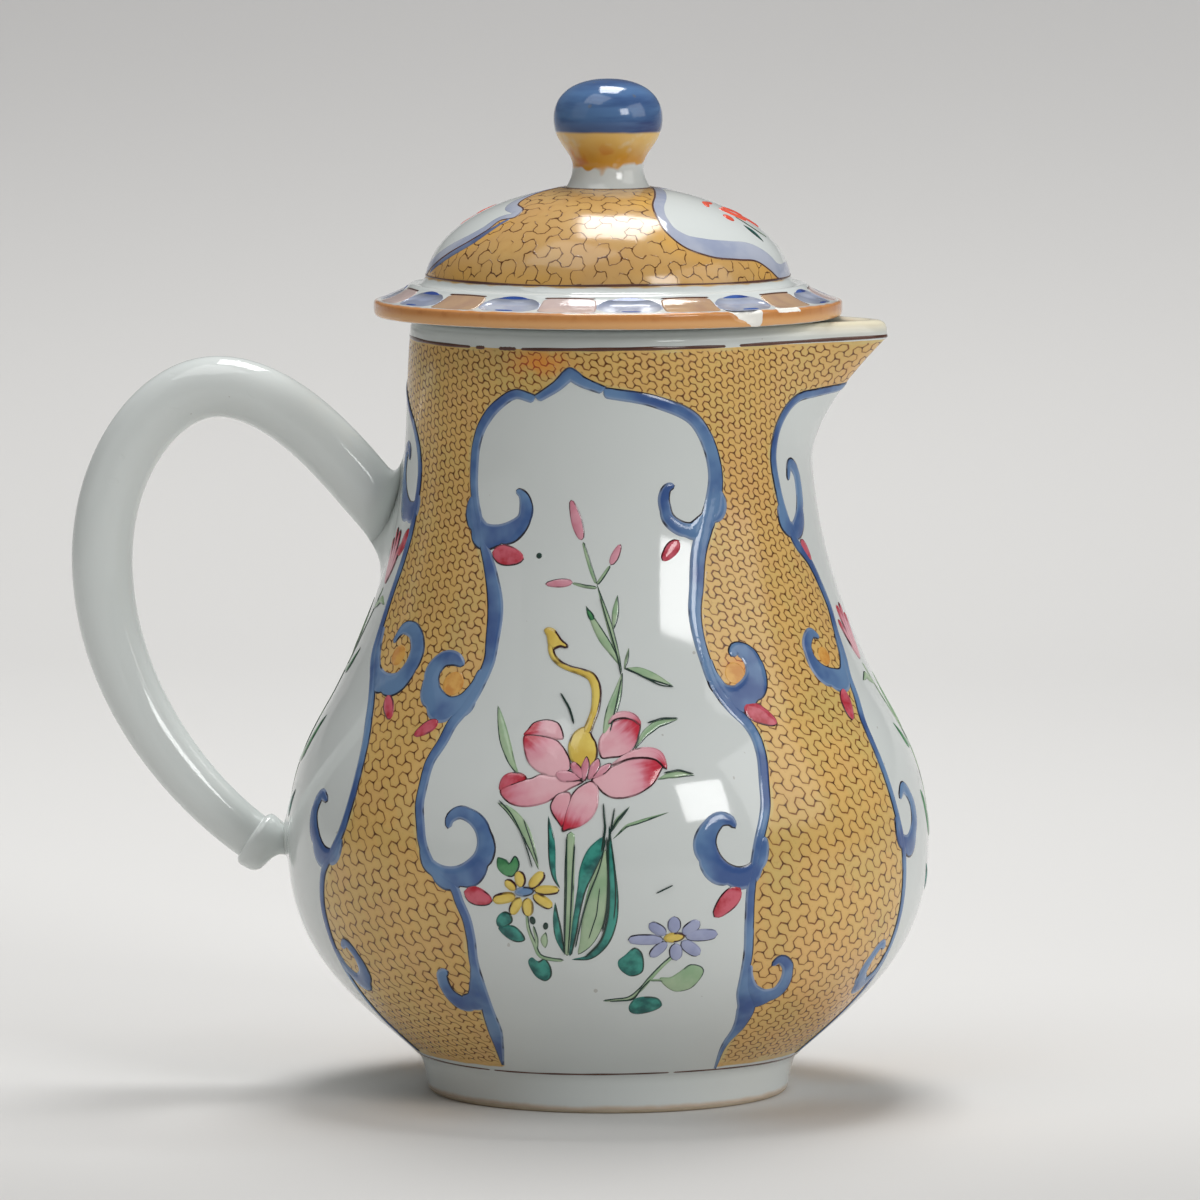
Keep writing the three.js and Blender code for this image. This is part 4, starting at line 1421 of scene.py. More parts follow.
SPOUT_BUDS = [((66.6, 55.7), (64.6, 51.6), 2.6), ((68.5, 75.0), (72.5, 72.0), 1.8)]
SPOUT_EYES = [(64.2, 60.0, 2.6)]
LEFT_WIDTHS = [(0, 1.3), (3, 1.6), (7, 1.4), (10, 1.3), (13, 2.4), (15, 1.8), (17, 1.9), (21, 1.5),
               (26, 1.4), (31, 1.4), (33, 1.9), (34, 2.2), (35, 1.6), (36, 0.4)]  # fmt: skip
RIGHT_WIDTHS = [(0, 1.5), (1, 1.7), (3, 2.1), (5, 2.5), (7, 2.3), (10, 1.7), (17, 1.6), (22, 1.4),
                (25, 1.5), (27, 2.8), (28, 2.0), (30, 0.4)]  # fmt: skip
SIDE_WIDTHS = [(0, 1.2), (3, 1.4), (10, 1.8), (16, 1.5), (22, 1.5), (24, 1.4)]
# Where the pen was lifted in the lines under the lip and above the foot.
LIP_STROKES = [(-176, -121), (-119, -37), (-35, -31.7), (-26.8, -21), (-19.6, 41.8), (46.7, 128),
               (129.5, 183)]  # fmt: skip
FOOT_STROKES = [(-178, -92), (-90, -31), (-29.6, 24), (25.2, 81), (82.5, 181)]
PEAK = [(-15.4, 94.9), (-9.8, 96.7), (-4.8, 98.7), (-0.2, 97.4), (5.6, 96.2)]


def widths_along(path, pairs):
    at, wide = zip(*pairs)
    return np.interp(np.arange(len(path)), at, wide)


def border(work, edge, pairs, inward, hooks, buds, eyes, middle=None):
    """One border with its hooks and buds; middle mirrors the whole about that angle."""

    def flip(path):
        return path if middle is None else mirrored(path, middle)

    side = inward if middle is None else -inward
    bed = f"{edge[5]}{middle}"
    for x, y, wide in eyes:
        work.spot("orange", flip([(x, y)])[0], wide, wide, crown=0.15)
    work.stroke("blue", flip(edge), widths_along(edge, pairs), side=side, bed=bed)
    for path, wide, bumps in hooks:
        work.stroke("blue", flip(path), wide, level=0.01, crown=1.1, bumps=bumps, bed=bed)
    for start, end, wide in buds:
        work.stroke("bud", flip([start, end]), wide, BUD, level=0.03)


def paint_scrolls(scene):
    """Blue scroll borders with rose buds round the four panels, and the lines at lip and foot."""
    for name, middle in (("front_scrolls", None), ("back_scrolls", 90)):
        work = brush(scene, BODY)
        for edge, pairs, inward, which in (
            (FRONT_LEFT[1:], LEFT_WIDTHS, 1, 0),
            (FRONT_RIGHT[1:], RIGHT_WIDTHS, -1, 1),
        ):
            border(
                work, edge, pairs, inward,
                FRONT_HOOKS[which::2], FRONT_BUDS[which::2], FRONT_EYES[which::2], middle,
            )  # fmt: skip
        peak = PEAK if middle is None else mirrored(PEAK, middle)[::-1]
        work.stroke("blue", peak, (1.2, 1.5, 1.9, 1.5, 1.2), side=-1, level=0.04)
        work.build(name, "jug", "painted_glaze")
    for name, edge, inward, hooks, buds, eyes, centre in (
        ("handle_side_scrolls", HANDLE_EDGE, -1, HANDLE_HOOKS, HANDLE_BUDS, HANDLE_EYES, -90),
        ("spout_side_scrolls", SPOUT_EDGE, 1, SPOUT_HOOKS, SPOUT_BUDS, SPOUT_EYES, 90),
    ):
        work = brush(scene, BODY)
        for middle in (None, centre):
            border(work, edge, SIDE_WIDTHS, inward, hooks, buds, eyes, middle)
        work.build(name, "jug", "painted_glaze")
    work = brush(scene, BODY)
    uneven = (0.7, 1.0, 0.8, 1.1, 0.9, 1.15, 0.85, 1.0, 0.7)
    for strokes, height, wide in ((LIP_STROKES, LIP_LINE, 0.48), (FOOT_STROKES, FOOT_LINE, 0.42)):
        for start, end in strokes:
            knots = np.linspace(start, end, max(4, int((end - start) / 3)))
            over_spout = 0.45 * np.exp(-(((knots - 88) / 26) ** 2)) * (height > 50)
            waver = height + 0.12 * np.sin(np.radians(knots * 3.1)) + over_spout
            work.stroke("brown", np.column_stack([knots, waver]), wide, uneven, crown=0.3)
    work.build("lip_and_foot_lines", "jug", "painted_glaze")


# The open flower, from its hindmost petals to its folds: pigment, corners, base, tip, level.
FLOWER = [
    ("rose", [(-14.0, 44.3), (-13.4, 45.6), (-11.0, 46.1), (-8.6, 46.2), (-6.4, 46.8),
              (-3.5, 46.6), (-1.0, 46.3), (1.6, 45.9), (-0.9, 44.9), (-3.3, 43.9), (-5.3, 43.1),
              (-8.0, 42.6), (-10.4, 42.6), (-12.4, 43.1)], (0.5, 46.0), (-15.5, 42.8), 0.0),
    ("bud", [(-14.1, 44.6), (-14.1, 45.8), (-13.2, 46.6), (-11.5, 46.9), (-9.8, 46.7),
             (-9.0, 46.0), (-10.4, 45.5), (-12.4, 45.0)], None, None, 0.05),
    ("rose", [(-10.9, 51.5), (-10.3, 52.2), (-9.4, 53.0), (-7.9, 53.4), (-6.1, 53.5),
              (-4.3, 53.2), (-3.3, 52.5), (-2.7, 51.2), (-4.1, 51.0), (-6.5, 51.3),
              (-8.9, 51.4)], (-3.5, 51.6), (-9.2, 52.4), 0.02),
    ("rose", [(-10.8, 51.4), (-8.9, 51.6), (-6.5, 51.4), (-4.1, 51.0), (-2.4, 50.0),
              (-1.2, 48.7), (-1.0, 47.5), (-1.8, 46.7), (-3.5, 46.4), (-5.7, 46.6), (-8.0, 47.4),
              (-9.5, 48.4), (-10.5, 50.0)], (-1.5, 47.0), (-9.6, 51.4), 0.08),
    ("rose", [(-4.4, 42.7), (-4.1, 43.5), (-3.3, 44.3), (-2.1, 44.6), (-0.9, 44.5), (-0.4, 43.4),
              (-1.0, 41.9), (-1.8, 40.0), (-3.2, 41.0), (-4.0, 41.8)], (-1.0, 44.6), (-2.8, 40.6),
     0.05),
    ("rose", [(2.9, 46.0), (4.2, 45.1), (4.3, 43.8), (4.1, 42.6), (3.1, 41.3), (1.3, 40.3),
              (-0.7, 39.8), (-2.1, 39.6), (-1.9, 41.3), (-1.3, 42.9), (-0.6, 44.2), (0.6, 45.2)],
     (2.8, 45.8), (-1.0, 40.0), 0.1),
    ("rose", [(4.1, 50.1), (4.3, 51.2), (5.3, 52.2), (6.1, 52.9), (8.0, 53.5), (10.0, 53.7),
              (11.7, 53.5), (12.6, 52.8), (12.3, 51.8), (11.6, 50.5), (10.4, 49.5), (8.8, 49.0),
              (6.6, 48.8), (4.7, 48.8)], (4.6, 48.8), (12.0, 52.6), 0.04),
    ("rose", [(2.9, 46.1), (4.4, 46.8), (6.9, 47.8), (9.4, 48.5), (12.5, 48.8), (15.0, 48.6),
              (16.5, 47.9), (15.8, 47.0), (14.8, 45.9), (13.8, 45.2), (11.6, 44.3), (9.2, 43.8),
              (6.9, 43.8), (5.1, 44.4), (3.9, 45.3)], (3.5, 46.0), (15.6, 47.6), 0.06),
    ("pale_bud", [(-3.7, 46.7), (-3.0, 47.2), (-1.4, 47.2), (0.2, 46.8), (1.2, 46.1),
                  (-1.0, 45.8), (-2.8, 45.9)], None, None, 0.16),
    ("pale_bud", [(3.2, 46.3), (4.3, 47.5), (5.7, 48.1), (6.7, 48.1), (6.3, 47.4), (5.1, 46.7)],
     None, None, 0.16),
    ("yellow", [(0.9, 52.6), (-0.6, 52.0), (-1.5, 51.0), (-1.7, 49.9), (-1.1, 48.6), (0.2, 47.7),
                (1.9, 47.4), (3.5, 47.9), (4.1, 49.3), (3.8, 50.6), (3.0, 51.5), (2.2, 52.5)],
     None, None, 0.12),
    ("pale_bud", [(-0.8, 47.3), (-1.0, 48.0), (-0.3, 48.3), (0.9, 47.7), (1.5, 46.7),
                  (1.1, 46.1), (0.0, 46.6)], None, None, 0.2),
    ("pale_bud", [(1.3, 46.2), (1.0, 47.5), (1.4, 48.4), (2.0, 49.0), (2.6, 48.1), (2.4, 46.9),
                  (1.9, 46.0)], None, None, 0.24),
    ("pale_bud", [(2.3, 46.3), (2.6, 47.7), (3.5, 48.5), (4.3, 48.7), (4.6, 47.9), (4.0, 46.9),
                  (2.9, 46.2)], None, None, 0.22),
    ("yellow", [(-9.2, 64.6), (-8.3, 65.0), (-6.8, 64.8), (-5.7, 64.2), (-4.7, 63.5),
                (-3.2, 62.8), (-3.6, 62.4), (-5.0, 62.5), (-6.6, 62.2), (-7.9, 62.8),
                (-8.4, 63.8)], None, None, 0.14),
]  # fmt: skip
# Leaves and blades: pigment, path, width, level.
LEAVES = [
    ("teal", [(-4.6, 41.5), (-3.9, 38.4), (-3.7, 35.4), (-3.4, 33.6), (-2.3, 32.2)], 1.0, 0.0),
    ("teal", [(-1.8, 23.4), (-2.7, 25.6), (-3.1, 28.2), (-3.2, 30.4)], 1.1, 0.0),
    ("sage", [(-14.2, 43.0), (-11.9, 42.2), (-10.0, 40.9), (-8.4, 39.2), (-7.1, 37.0),
              (-6.1, 34.6)], 1.35, 0.0),
    ("sage", [(-17.6, 55.0), (-14.8, 51.0), (-12.4, 48.0), (-10.4, 46.2)], 1.4, 0.0),
    ("teal", [(-0.6, 22.7), (2.8, 23.1), (5.5, 25.1), (6.7, 27.9), (7.0, 31.2), (6.7, 34.4),
              (6.4, 38.0), (6.2, 40.4)], 1.4, 0.0),
    ("sage", [(0.6, 23.4), (2.4, 25.4), (3.6, 28.4), (4.2, 31.4), (4.9, 34.6), (5.6, 37.4)], 3.2,
     -0.02),
    ("sage", [(5.0, 51.0), (6.5, 54.2), (8.1, 56.9), (9.2, 59.4)], 1.5, 0.0),
    ("sage", [(9.1, 59.4), (8.2, 61.7), (7.1, 63.9), (6.0, 66.0), (4.3, 68.8), (3.2, 70.6)], 0.8,
     0.0),
    ("sage", [(8.7, 60.2), (7.1, 61.9), (4.8, 63.7), (2.8, 65.6), (0.6, 67.8)], 1.2, 0.03),
    ("green", [(2.9, 65.5), (1.8, 66.6), (0.7, 67.6)], 0.8, 0.05),
    ("sage", [(7.3, 64.8), (7.8, 66.9), (8.4, 69.2)], 0.9, 0.03),
    ("sage", [(9.6, 59.9), (12.9, 59.6), (16.5, 58.7), (20.2, 57.6)], 1.2, 0.03),
    ("sage", [(9.6, 59.8), (10.3, 61.2), (10.8, 62.5)], 0.5, 0.03),
    ("sage", [(11.2, 49.9), (13.0, 51.6), (15.7, 52.9), (20.4, 53.5)], 1.1, 0.0),
    ("sage", [(15.1, 46.1), (17.3, 46.6), (19.9, 46.7), (22.2, 46.5)], 0.9, 0.0),
    ("sage", [(6.4, 39.4), (7.7, 41.1), (9.9, 42.8)], 0.6, 0.0),
    ("sage", [(6.8, 38.6), (9.2, 40.3), (12.7, 41.1), (16.9, 42.0)], 0.5, 0.0),
    ("sage", [(-5.3, 24.2), (-5.4, 25.4), (-5.0, 26.4)], 1.0, 0.0),
]  # fmt: skip
# Pen lines and stems: pigment, path, width.
STEMS = [
    ("sage", [(-0.5, 39.6), (-0.7, 34.3), (-0.8, 29.6), (-1.4, 23.2)], 1.3),
    ("ink", [(-1.2, 38.9), (-1.2, 32.0), (-1.8, 23.4)], 0.22),
    ("ink", [(0.2, 38.0), (-0.1, 34.3), (-0.5, 28.2), (-1.2, 23.4)], 0.22),
    ("ink", [(1.9, 23.1), (4.8, 25.4), (5.9, 28.3), (6.2, 31.6), (6.0, 34.8), (5.8, 38.9)], 0.25),
    ("ink", [(4.9, 37.0), (5.5, 40.0), (5.2, 43.2)], 0.3),
    ("ink", [(0.2, 24.4), (1.5, 28.4), (2.9, 31.8), (4.4, 34.6), (5.6, 38.4)], 0.2),
    ("ink", [(2.6, 25.6), (4.0, 28.8), (4.6, 32.4)], 0.14),
    ("ink", [(5.0, 26.6), (5.9, 30.0), (6.1, 34.0), (6.0, 38.6)], 0.24),
    ("ink", [(7.0, 28.2), (7.4, 31.4), (7.1, 35.0), (6.6, 38.0)], 0.18),
    ("ink", [(6.0, 37.6), (6.6, 40.2), (7.2, 42.6)], 0.22),
    ("ink", [(8.9, 59.0), (8.0, 61.7), (6.9, 63.9), (5.7, 66.0), (4.1, 68.8)], 0.18),
    ("ink", [(6.4, 52.0), (7.6, 55.0), (8.9, 58.6)], 0.2),
    ("ink", [(-13.9, 43.3), (-11.4, 41.7), (-9.4, 39.4), (-7.9, 36.7), (-7.2, 34.9)], 0.18),
    ("ink", [(9.8, 60.0), (13.6, 58.9), (17.0, 57.8), (20.2, 57.5)], 0.16),
    ("ink", [(-9.0, 41.0), (-7.4, 38.1), (-6.2, 35.4)], 0.16),
    ("ink", [(-0.9, 53.0), (-1.9, 54.8), (-4.1, 56.8)], 0.3),
    ("ink", [(14.0, 53.1), (17.2, 53.6), (20.4, 53.6)], 0.25),
    ("ink", [(16.4, 46.9), (19.2, 47.2), (22.0, 46.7)], 0.22),
    ("ink", [(6.4, 39.4), (7.6, 41.0), (9.6, 42.6)], 0.25),
    ("ink", [(14.4, 31.6), (17.3, 32.6)], 0.18),
    ("sage", [(3.1, 70.6), (2.0, 72.0), (0.9, 73.6), (-0.6, 76.0)], 0.55),
    ("sage", [(3.3, 70.1), (0.2, 70.3), (-3.1, 70.7)], 0.5),
    ("sage", [(3.2, 70.5), (4.5, 71.4), (6.6, 73.0)], 0.5),
    ("sage", [(-2.0, 22.6), (-4.6, 22.7), (-6.6, 23.2), (-7.3, 25.0), (-8.1, 26.7), (-8.3, 29.0)],
     0.6),
    ("sage", [(-7.0, 23.7), (-6.7, 25.3), (-7.2, 27.2)], 0.5),
    ("sage", [(17.9, 23.2), (15.8, 21.7), (14.3, 20.4), (12.6, 19.0), (11.3, 17.5), (9.5, 17.2),
              (5.0, 16.9)], 0.65),
    ("ink", [(14.0, 20.0), (12.4, 18.7), (11.0, 17.2), (9.0, 17.0), (6.4, 16.9)], 0.2),
    ("sage", [(13.9, 19.8), (15.6, 19.8), (17.6, 19.6)], 0.4),
]  # fmt: skip
ROUND_LEAVES = [
    ("green", [(-12.0, 35.8), (-11.3, 35.4), (-10.5, 36.3), (-9.7, 35.9), (-9.5, 34.9),
               (-10.2, 33.9), (-11.1, 33.5), (-12.6, 33.9), (-13.6, 34.8), (-13.5, 36.0)]),
    ("teal", [(-14.0, 27.7), (-13.4, 28.5), (-12.2, 29.0), (-11.1, 28.5), (-11.0, 27.6),
              (-12.4, 26.9), (-13.7, 26.9)]),
    ("teal", [(-13.7, 26.7), (-12.4, 27.1), (-10.7, 27.1), (-9.3, 26.2), (-8.9, 25.2),
              (-10.6, 24.9), (-12.5, 25.6)]),
    ("teal", [(-8.7, 22.3), (-7.9, 22.9), (-6.8, 22.4), (-5.5, 22.8), (-4.5, 21.6), (-4.6, 20.3),
              (-5.9, 19.6), (-7.4, 20.1), (-8.3, 21.1)]),
    ("teal", [(8.3, 21.3), (7.8, 22.5), (9.1, 23.4), (10.7, 24.4), (12.1, 23.7), (12.6, 22.2),
              (12.3, 20.9), (10.3, 20.4)]),
    ("sage", [(15.7, 20.1), (17.7, 20.2), (19.3, 20.9), (21.2, 21.9), (23.3, 21.6), (24.1, 20.8),
              (23.4, 19.5), (21.9, 18.4), (19.2, 18.1), (17.0, 18.9)]),
    ("teal", [(10.2, 16.1), (11.3, 17.2), (13.7, 17.5), (15.9, 17.2), (16.9, 16.1), (15.2, 15.3),
              (12.3, 14.9), (10.6, 15.2)]),
]  # fmt: skip
# Daisies: petals' pigment, the heart's pigment, place and size, and each petal's root, tip, width.
DAISIES = [
    ("yellow", "blue", (-8.6, 31.7), 2.6, [
        ((-10.2, 31.1), (-14.5, 30.4), 1.5), ((-10.1, 31.9), (-12.1, 33.1), 1.3),
        ((-9.1, 32.2), (-9.6, 34.4), 1.5), ((-7.7, 32.2), (-5.1, 34.3), 1.5),
        ((-6.9, 31.9), (-2.4, 32.0), 1.3), ((-7.1, 31.3), (-3.7, 29.7), 1.5),
        ((-8.1, 30.9), (-8.1, 28.4), 1.6), ((-9.4, 30.9), (-11.2, 28.6), 1.4)]),
    ("mauve", "yellow", (17.8, 25.7), 2.8, [
        ((15.9, 25.4), (9.5, 25.5), 1.5), ((16.3, 26.1), (13.2, 27.6), 1.5),
        ((17.8, 26.2), (17.6, 28.5), 1.8), ((19.2, 26.1), (22.3, 27.7), 1.7),
        ((19.7, 25.8), (25.8, 25.9), 1.7), ((19.1, 25.1), (22.8, 23.2), 1.7),
        ((18.0, 24.9), (18.5, 22.5), 1.8), ((16.5, 25.1), (13.6, 23.1), 1.5)]),
]  # fmt: skip


def spray(work):
    """The flower spray of the large panels, from the ground up."""
    for pigment, path, width in STEMS:
        level, crown = (0.16, 0.3) if pigment == "ink" else (0.0, 1.0)
        work.stroke(pigment, path, width, LINE, level, crown=crown)
    for pigment, path, width, level in LEAVES:
        work.stroke(pigment, path, width, LEAF, level)
    broad = [(-0.9, 23.2), (0.0, 26.4), (0.8, 29.7), (1.5, 32.2), (2.4, 34.6), (3.8, 36.9),
             (5.4, 39.0)]  # fmt: skip
    work.stroke("teal", broad, (0.5, 0.8, 0.9, 1.2, 2.0, 2.1, 0.5), level=0.03)
    for pigment, corners in ROUND_LEAVES:
        work.patch(pigment, corners, level=0.02)
    for start, end, wide in (
        ((-0.9, 76.2), (-4.1, 81.4), 1.5), ((-2.9, 70.8), (-10.0, 70.5), 1.2),
        ((6.7, 73.0), (9.3, 75.7), 1.1),
    ):  # fmt: skip
        work.stroke("pale_bud", [start, end], wide, BUD, 0.02)
    for pigment, corners, base, tip, level in FLOWER:
        work.patch(pigment, corners, base, tip, level)
    fold = [(6.6, 47.9), (9.5, 48.9), (12.7, 49.4), (15.3, 49.1), (17.0, 47.3)]
    work.stroke("rose", fold, (0.3, 0.9, 1.6, 1.6, 0.4), level=0.14)
    fold = [(6.0, 52.9), (7.6, 53.9), (9.5, 54.1), (11.2, 53.8), (12.6, 52.8)]
    work.stroke("rose", fold, (0.4, 0.9, 1.1, 1.0, 0.5), level=0.12)
    neck = [
        (1.6, 51.6), (2.5, 53.2), (3.2, 54.4), (3.6, 56.1), (3.4, 57.7), (2.3, 58.9),
        (0.5, 59.4), (-2.5, 59.9), (-4.8, 60.5), (-6.5, 61.4), (-7.2, 62.6), (-7.0, 63.6),
    ]  # fmt: skip
    widths = (1.3, 1.1, 1.1, 1.25, 1.3, 1.2, 1.0, 0.8, 0.8, 0.8, 0.85, 0.8)
    work.stroke("yellow", neck, widths, level=0.1)
    for petals, heart, (x, y), wide, tips in DAISIES:
        for start, end, width in tips:
            work.stroke(petals, [start, end], width, PETAL, 0.05)
        work.spot(heart, (x, y), wide, wide * 0.5, 6, 0.14)
    work.spot("ink", (-7.3, 27.9), 0.8, 1.1, 10, 0.03)
    work.spot("ink", (-5.0, 27.2), 0.7, 1.0, -10, 0.03)


def side_spray(work, middle, low, way):
    """A narrow spray for a side panel: a peony, a spiky flower, buds and leaves. way is -1 where
    it is turned about."""

    def leaf(pigment, path, width, level=0.0, form=LEAF):
        work.stroke(pigment, [(middle + way * x, low + y) for x, y in path], width, form, level)

    leaf("sage", [(0, 0), (2.0, 9), (3.0, 18), (9.0, 26), (15.0, 32)], 0.7, 0.0, LINE)
    leaf("sage", [(1.0, 4), (-5.0, 12), (-8.0, 20)], 0.6, 0.0, LINE)
    leaf("green", [(2.4, 8), (8.0, 10), (13.0, 15)], 2.6, 0.02)
    leaf("green", [(1.6, 6), (-5.0, 7), (-10.0, 11)], 2.4, 0.02)
    leaf("teal", [(0.5, 1), (7.0, 2), (12.0, 5)], 2.0, 0.02)
    leaf("teal", [(0, 1), (-6.0, 0), (-11.0, 3)], 1.8, 0.02)
    leaf("green", [(5.0, 21), (10.0, 21), (14.5, 24)], 1.6, 0.02)
    leaf("sage", [(6.0, 22), (3.0, 26), (2.0, 30)], 1.3, 0.02)
    leaf("sage", [(12.0, 29), (17.0, 30.5), (21.0, 30)], 1.2, 0.02)
    for x, y, wide in (
        (-14.5, 21.5, 2.4), (-12.0, 25.5, 2.6), (-7.0, 26.5, 2.6), (-3.2, 23.5, 2.4),
        (-3.6, 20.0, 2.2), (-12.0, 18.6, 2.2),
    ):  # fmt: skip
        leaf("rose", [(-8.6, 21.4), ((x - 8.6) / 2, (y + 21.4) / 2), (x, y)], wide, 0.03, PETAL)
    work.spot("bud", (middle - way * 8.6, low + 21.6), 2.4, 2.1, 0, 0.12)
    for x, y, wide in ((12.0, 38.5, 1.3), (15.0, 40.0, 1.4), (18.4, 39.8, 1.4), (21.2, 38.0, 1.2)):
        leaf("rose", [(15.6, 32.5), ((x + 15.8) / 2, (y + 32.0) / 2), (x, y)], wide, 0.05, PETAL)


def paint_sprays(scene):
    """Flower sprays in the four panels, and the small dark speck in the front one."""
    for name, turn in (("front_spray", 0), ("back_spray", 171)):
        work = brush(scene, BODY, turn)
        spray(work)
        if not turn:
            work.spot("ink", (-12.2, 74.1), 0.8, 0.8)
        work.build(name, "jug", "painted_glaze")
    for name, middle, low, way in (
        ("spout_side_spray", 100, 26, -1),
        ("handle_side_spray", -87, 36, 1),
    ):
        work = brush(scene, BODY)
        side_spray(work, middle, low, way)
        work.build(name, "jug", "painted_glaze")


def paint_cover(scene):
    """Grey-blue borders and a red flower on the dome, and the band of blotches on the brim."""
    work = brush(scene, DOME_FACE)
    for half, border_widths, middle, side in (
        (COVER_RIGHT, RIGHT_BORDER, RIGHT_MIDDLE, 1), (COVER_LEFT, LEFT_BORDER, LEFT_MIDDLE, -1),
    ):  # fmt: skip
        path, widths = reserve(half, border_widths, middle)
        path, widths = path + path[:1], widths + widths[:1]
        work.stroke("grey_blue", path, widths, side=side, crown=0.35)
        work.stroke("brown", path, 0.26, crown=0.3, level=0.02)
    dash = [(-42, 117.3), (-50, 114.3), (-60, 112.2), (-72, 109.9)]
    work.stroke("slate", dash, (0.5, 1.0, 0.9, 0.5), level=0.02, crown=0.35)
    for turn in (0, 172):
        work.turn = turn
        for path, wide in (
            ([(69, 118.6), (76, 119.0), (84, 118.9)], 1.0),
            ([(78, 118.3), (82, 117.4), (86, 116.6)], 1.4),
            ([(84, 118.3), (90, 117.9), (95, 117.1)], 1.2),
            ([(86, 117.4), (91, 116.6), (95, 115.6)], 1.1),
        ):
            work.stroke("red", path, wide, PETAL, 0.02)
        work.spot("red", (71, 117.2), 1.6, 1.7, 0, 0.04)
        work.stroke("teal", [(75, 116.2), (76, 115.2), (77, 114.0)], 1.1, LEAF, 0.02)
        work.stroke("sage", [(79, 117.2), (81, 115.6), (86, 114.4)], 0.5, LINE)
    work.build("cover_reserves", "cover", "painted_cover")

    brim = TurnedFace(BRIM_LINE)
    work = brush(scene, brim)

    def climbed(share):
        """The height at a share of the way up the brim."""
        return np.interp(share * brim.rises[-1], brim.rises, brim.height)

    def squared(value):
        return math.copysign(abs(value) ** 0.35, value)

    # Loops and boxes in turn round the brim.
    pairs = 11
    around = np.linspace(0, 2 * math.pi, 17)[:-1]
    swirl = np.linspace(-0.4, 2 * math.pi - 0.1, 15)
    for k in range(pairs):
        angle = 360 / pairs * k - 21
        loop = [(angle + 5.8 * math.cos(t), climbed(0.5 + 0.28 * math.sin(t))) for t in swirl]
        wash = [(angle - 9.0, climbed(0.5)), (angle + 9.0, climbed(0.5))]
        work.stroke("grey_blue", wash, 4.0, (0.8, 1, 1, 1, 0.8), level=-0.01, crown=0.15)
        heavy = 1.35 + 0.4 * np.sin(swirl)
        work.stroke("brim_blue", loop, heavy, level=0.04, crown=0.3)
        middle = angle + 180 / pairs
        box = [
            (middle + 7.6 * squared(math.cos(t)), climbed(0.5 + 0.42 * squared(math.sin(t))))
            for t in around
        ]
        work.patch("khaki" if k % 3 else "mauve_wash", box, level=0.02, crown=0.3)
        top = [(middle + x, climbed(y)) for x, y in ((-7.2, 0.93), (0, 0.95), (7.2, 0.93))]
        work.stroke("brown", top, 0.22, level=0.03, crown=0.2)
    work.build("brim_band", "cover", "painted_cover")

    work = brush(scene, TurnedFace(dome_outline(DOME_SKIN)[:-2]))
    knots = np.linspace(-178, 182, 60)
    height = SPRINGING + DOME_RISE * math.sqrt(1 - (6.0 / DOME) ** 2)
    work.stroke("brown", np.column_stack([knots, np.full(60, height)]), 0.5, crown=0.35)
    waver = COVER_LINE + 0.06 * np.sin(np.radians(knots * 4))
    thick = 0.26 + 0.08 * np.sin(np.radians(knots * 7))
    work.stroke("brown", np.column_stack([knots, waver + 0.15]), thick, level=0.08, crown=0.3)
    work.build("cover_lines", "cover", "painted_cover")


# ---- Table, lamps and camera ----


def sheet_of_paper(colours):
    """A pale sheet that curves up behind the jug, low enough to be seen over from behind."""
    outline = [(-PAPER_HALF, 0.0), (PAPER_BENDS_AT, 0.0)]
    for t in np.linspace(0, math.radians(56), 12)[1:]:
        outline.append((PAPER_BENDS_AT + PAPER_BEND * math.sin(t), PAPER_BEND * (1 - math.cos(t))))
    sides = np.linspace(-PAPER_HALF, PAPER_HALF, 9)
    points = [(x, y, z) for y, z in outline for x in sides]
    mesh = bpy.data.meshes.new("paper_sweep")
    mesh.from_pydata(points, [], net(len(outline), len(sides), False)[0].tolist())
    mesh.polygons.foreach_set("use_smooth", np.ones(len(mesh.polygons), bool))
    made = bpy.data.objects.new("paper_sweep", mesh)
    bpy.context.scene.collection.objects.link(made)
    finish = Finish("pale_paper")
    where = finish.place()
    along, away, height = finish.parts(where)
    # Painted shade: the backdrop darkens as it curves up behind the jug.
    paper = finish.blend(height.climb(0.0, 0.14), colours.backdrop, shade(187, 186, 185))
    # Painted shade: the table darkens towards the front, in front of the jug.
    paper = finish.blend(away.fall(-0.14, 0.06) * 0.55, paper, shade(168, 167, 165))
    # Painted shade: the paper darkens towards the right.
    paper = finish.blend(along.climb(-0.05, 0.3) * 0.4, paper, shade(186, 185, 184))
    paper = finish.blend(finish.noise(where, 6.0, 3.0) * 0.06, paper, shade(188, 186, 182))
    mesh.materials.append(finish.set(base_color=paper, roughness=0.8))


def lamp(name, at, look, size, watts):
    data = bpy.data.lights.new(name, "AREA")
    data.shape = "RECTANGLE"
    data.size, data.size_y = size
    data.energy = watts
    made = bpy.data.objects.new(name, data)
    made.location = at
    made.rotation_euler = (Vector(look) - Vector(at)).to_track_quat("-Z", "Y").to_euler()
    bpy.context.scene.collection.objects.link(made)


def round_place(azimuth, elevation, distance):
    """A place round the jug: degrees from the front, degrees up from the belly, and metres."""
    a, e = math.radians(azimuth), math.radians(elevation)
    flat, up = distance * math.cos(e), AIM_HEIGHT + distance * math.sin(e)
    return AXIS + Vector((flat * math.sin(a), -flat * math.cos(a), up))


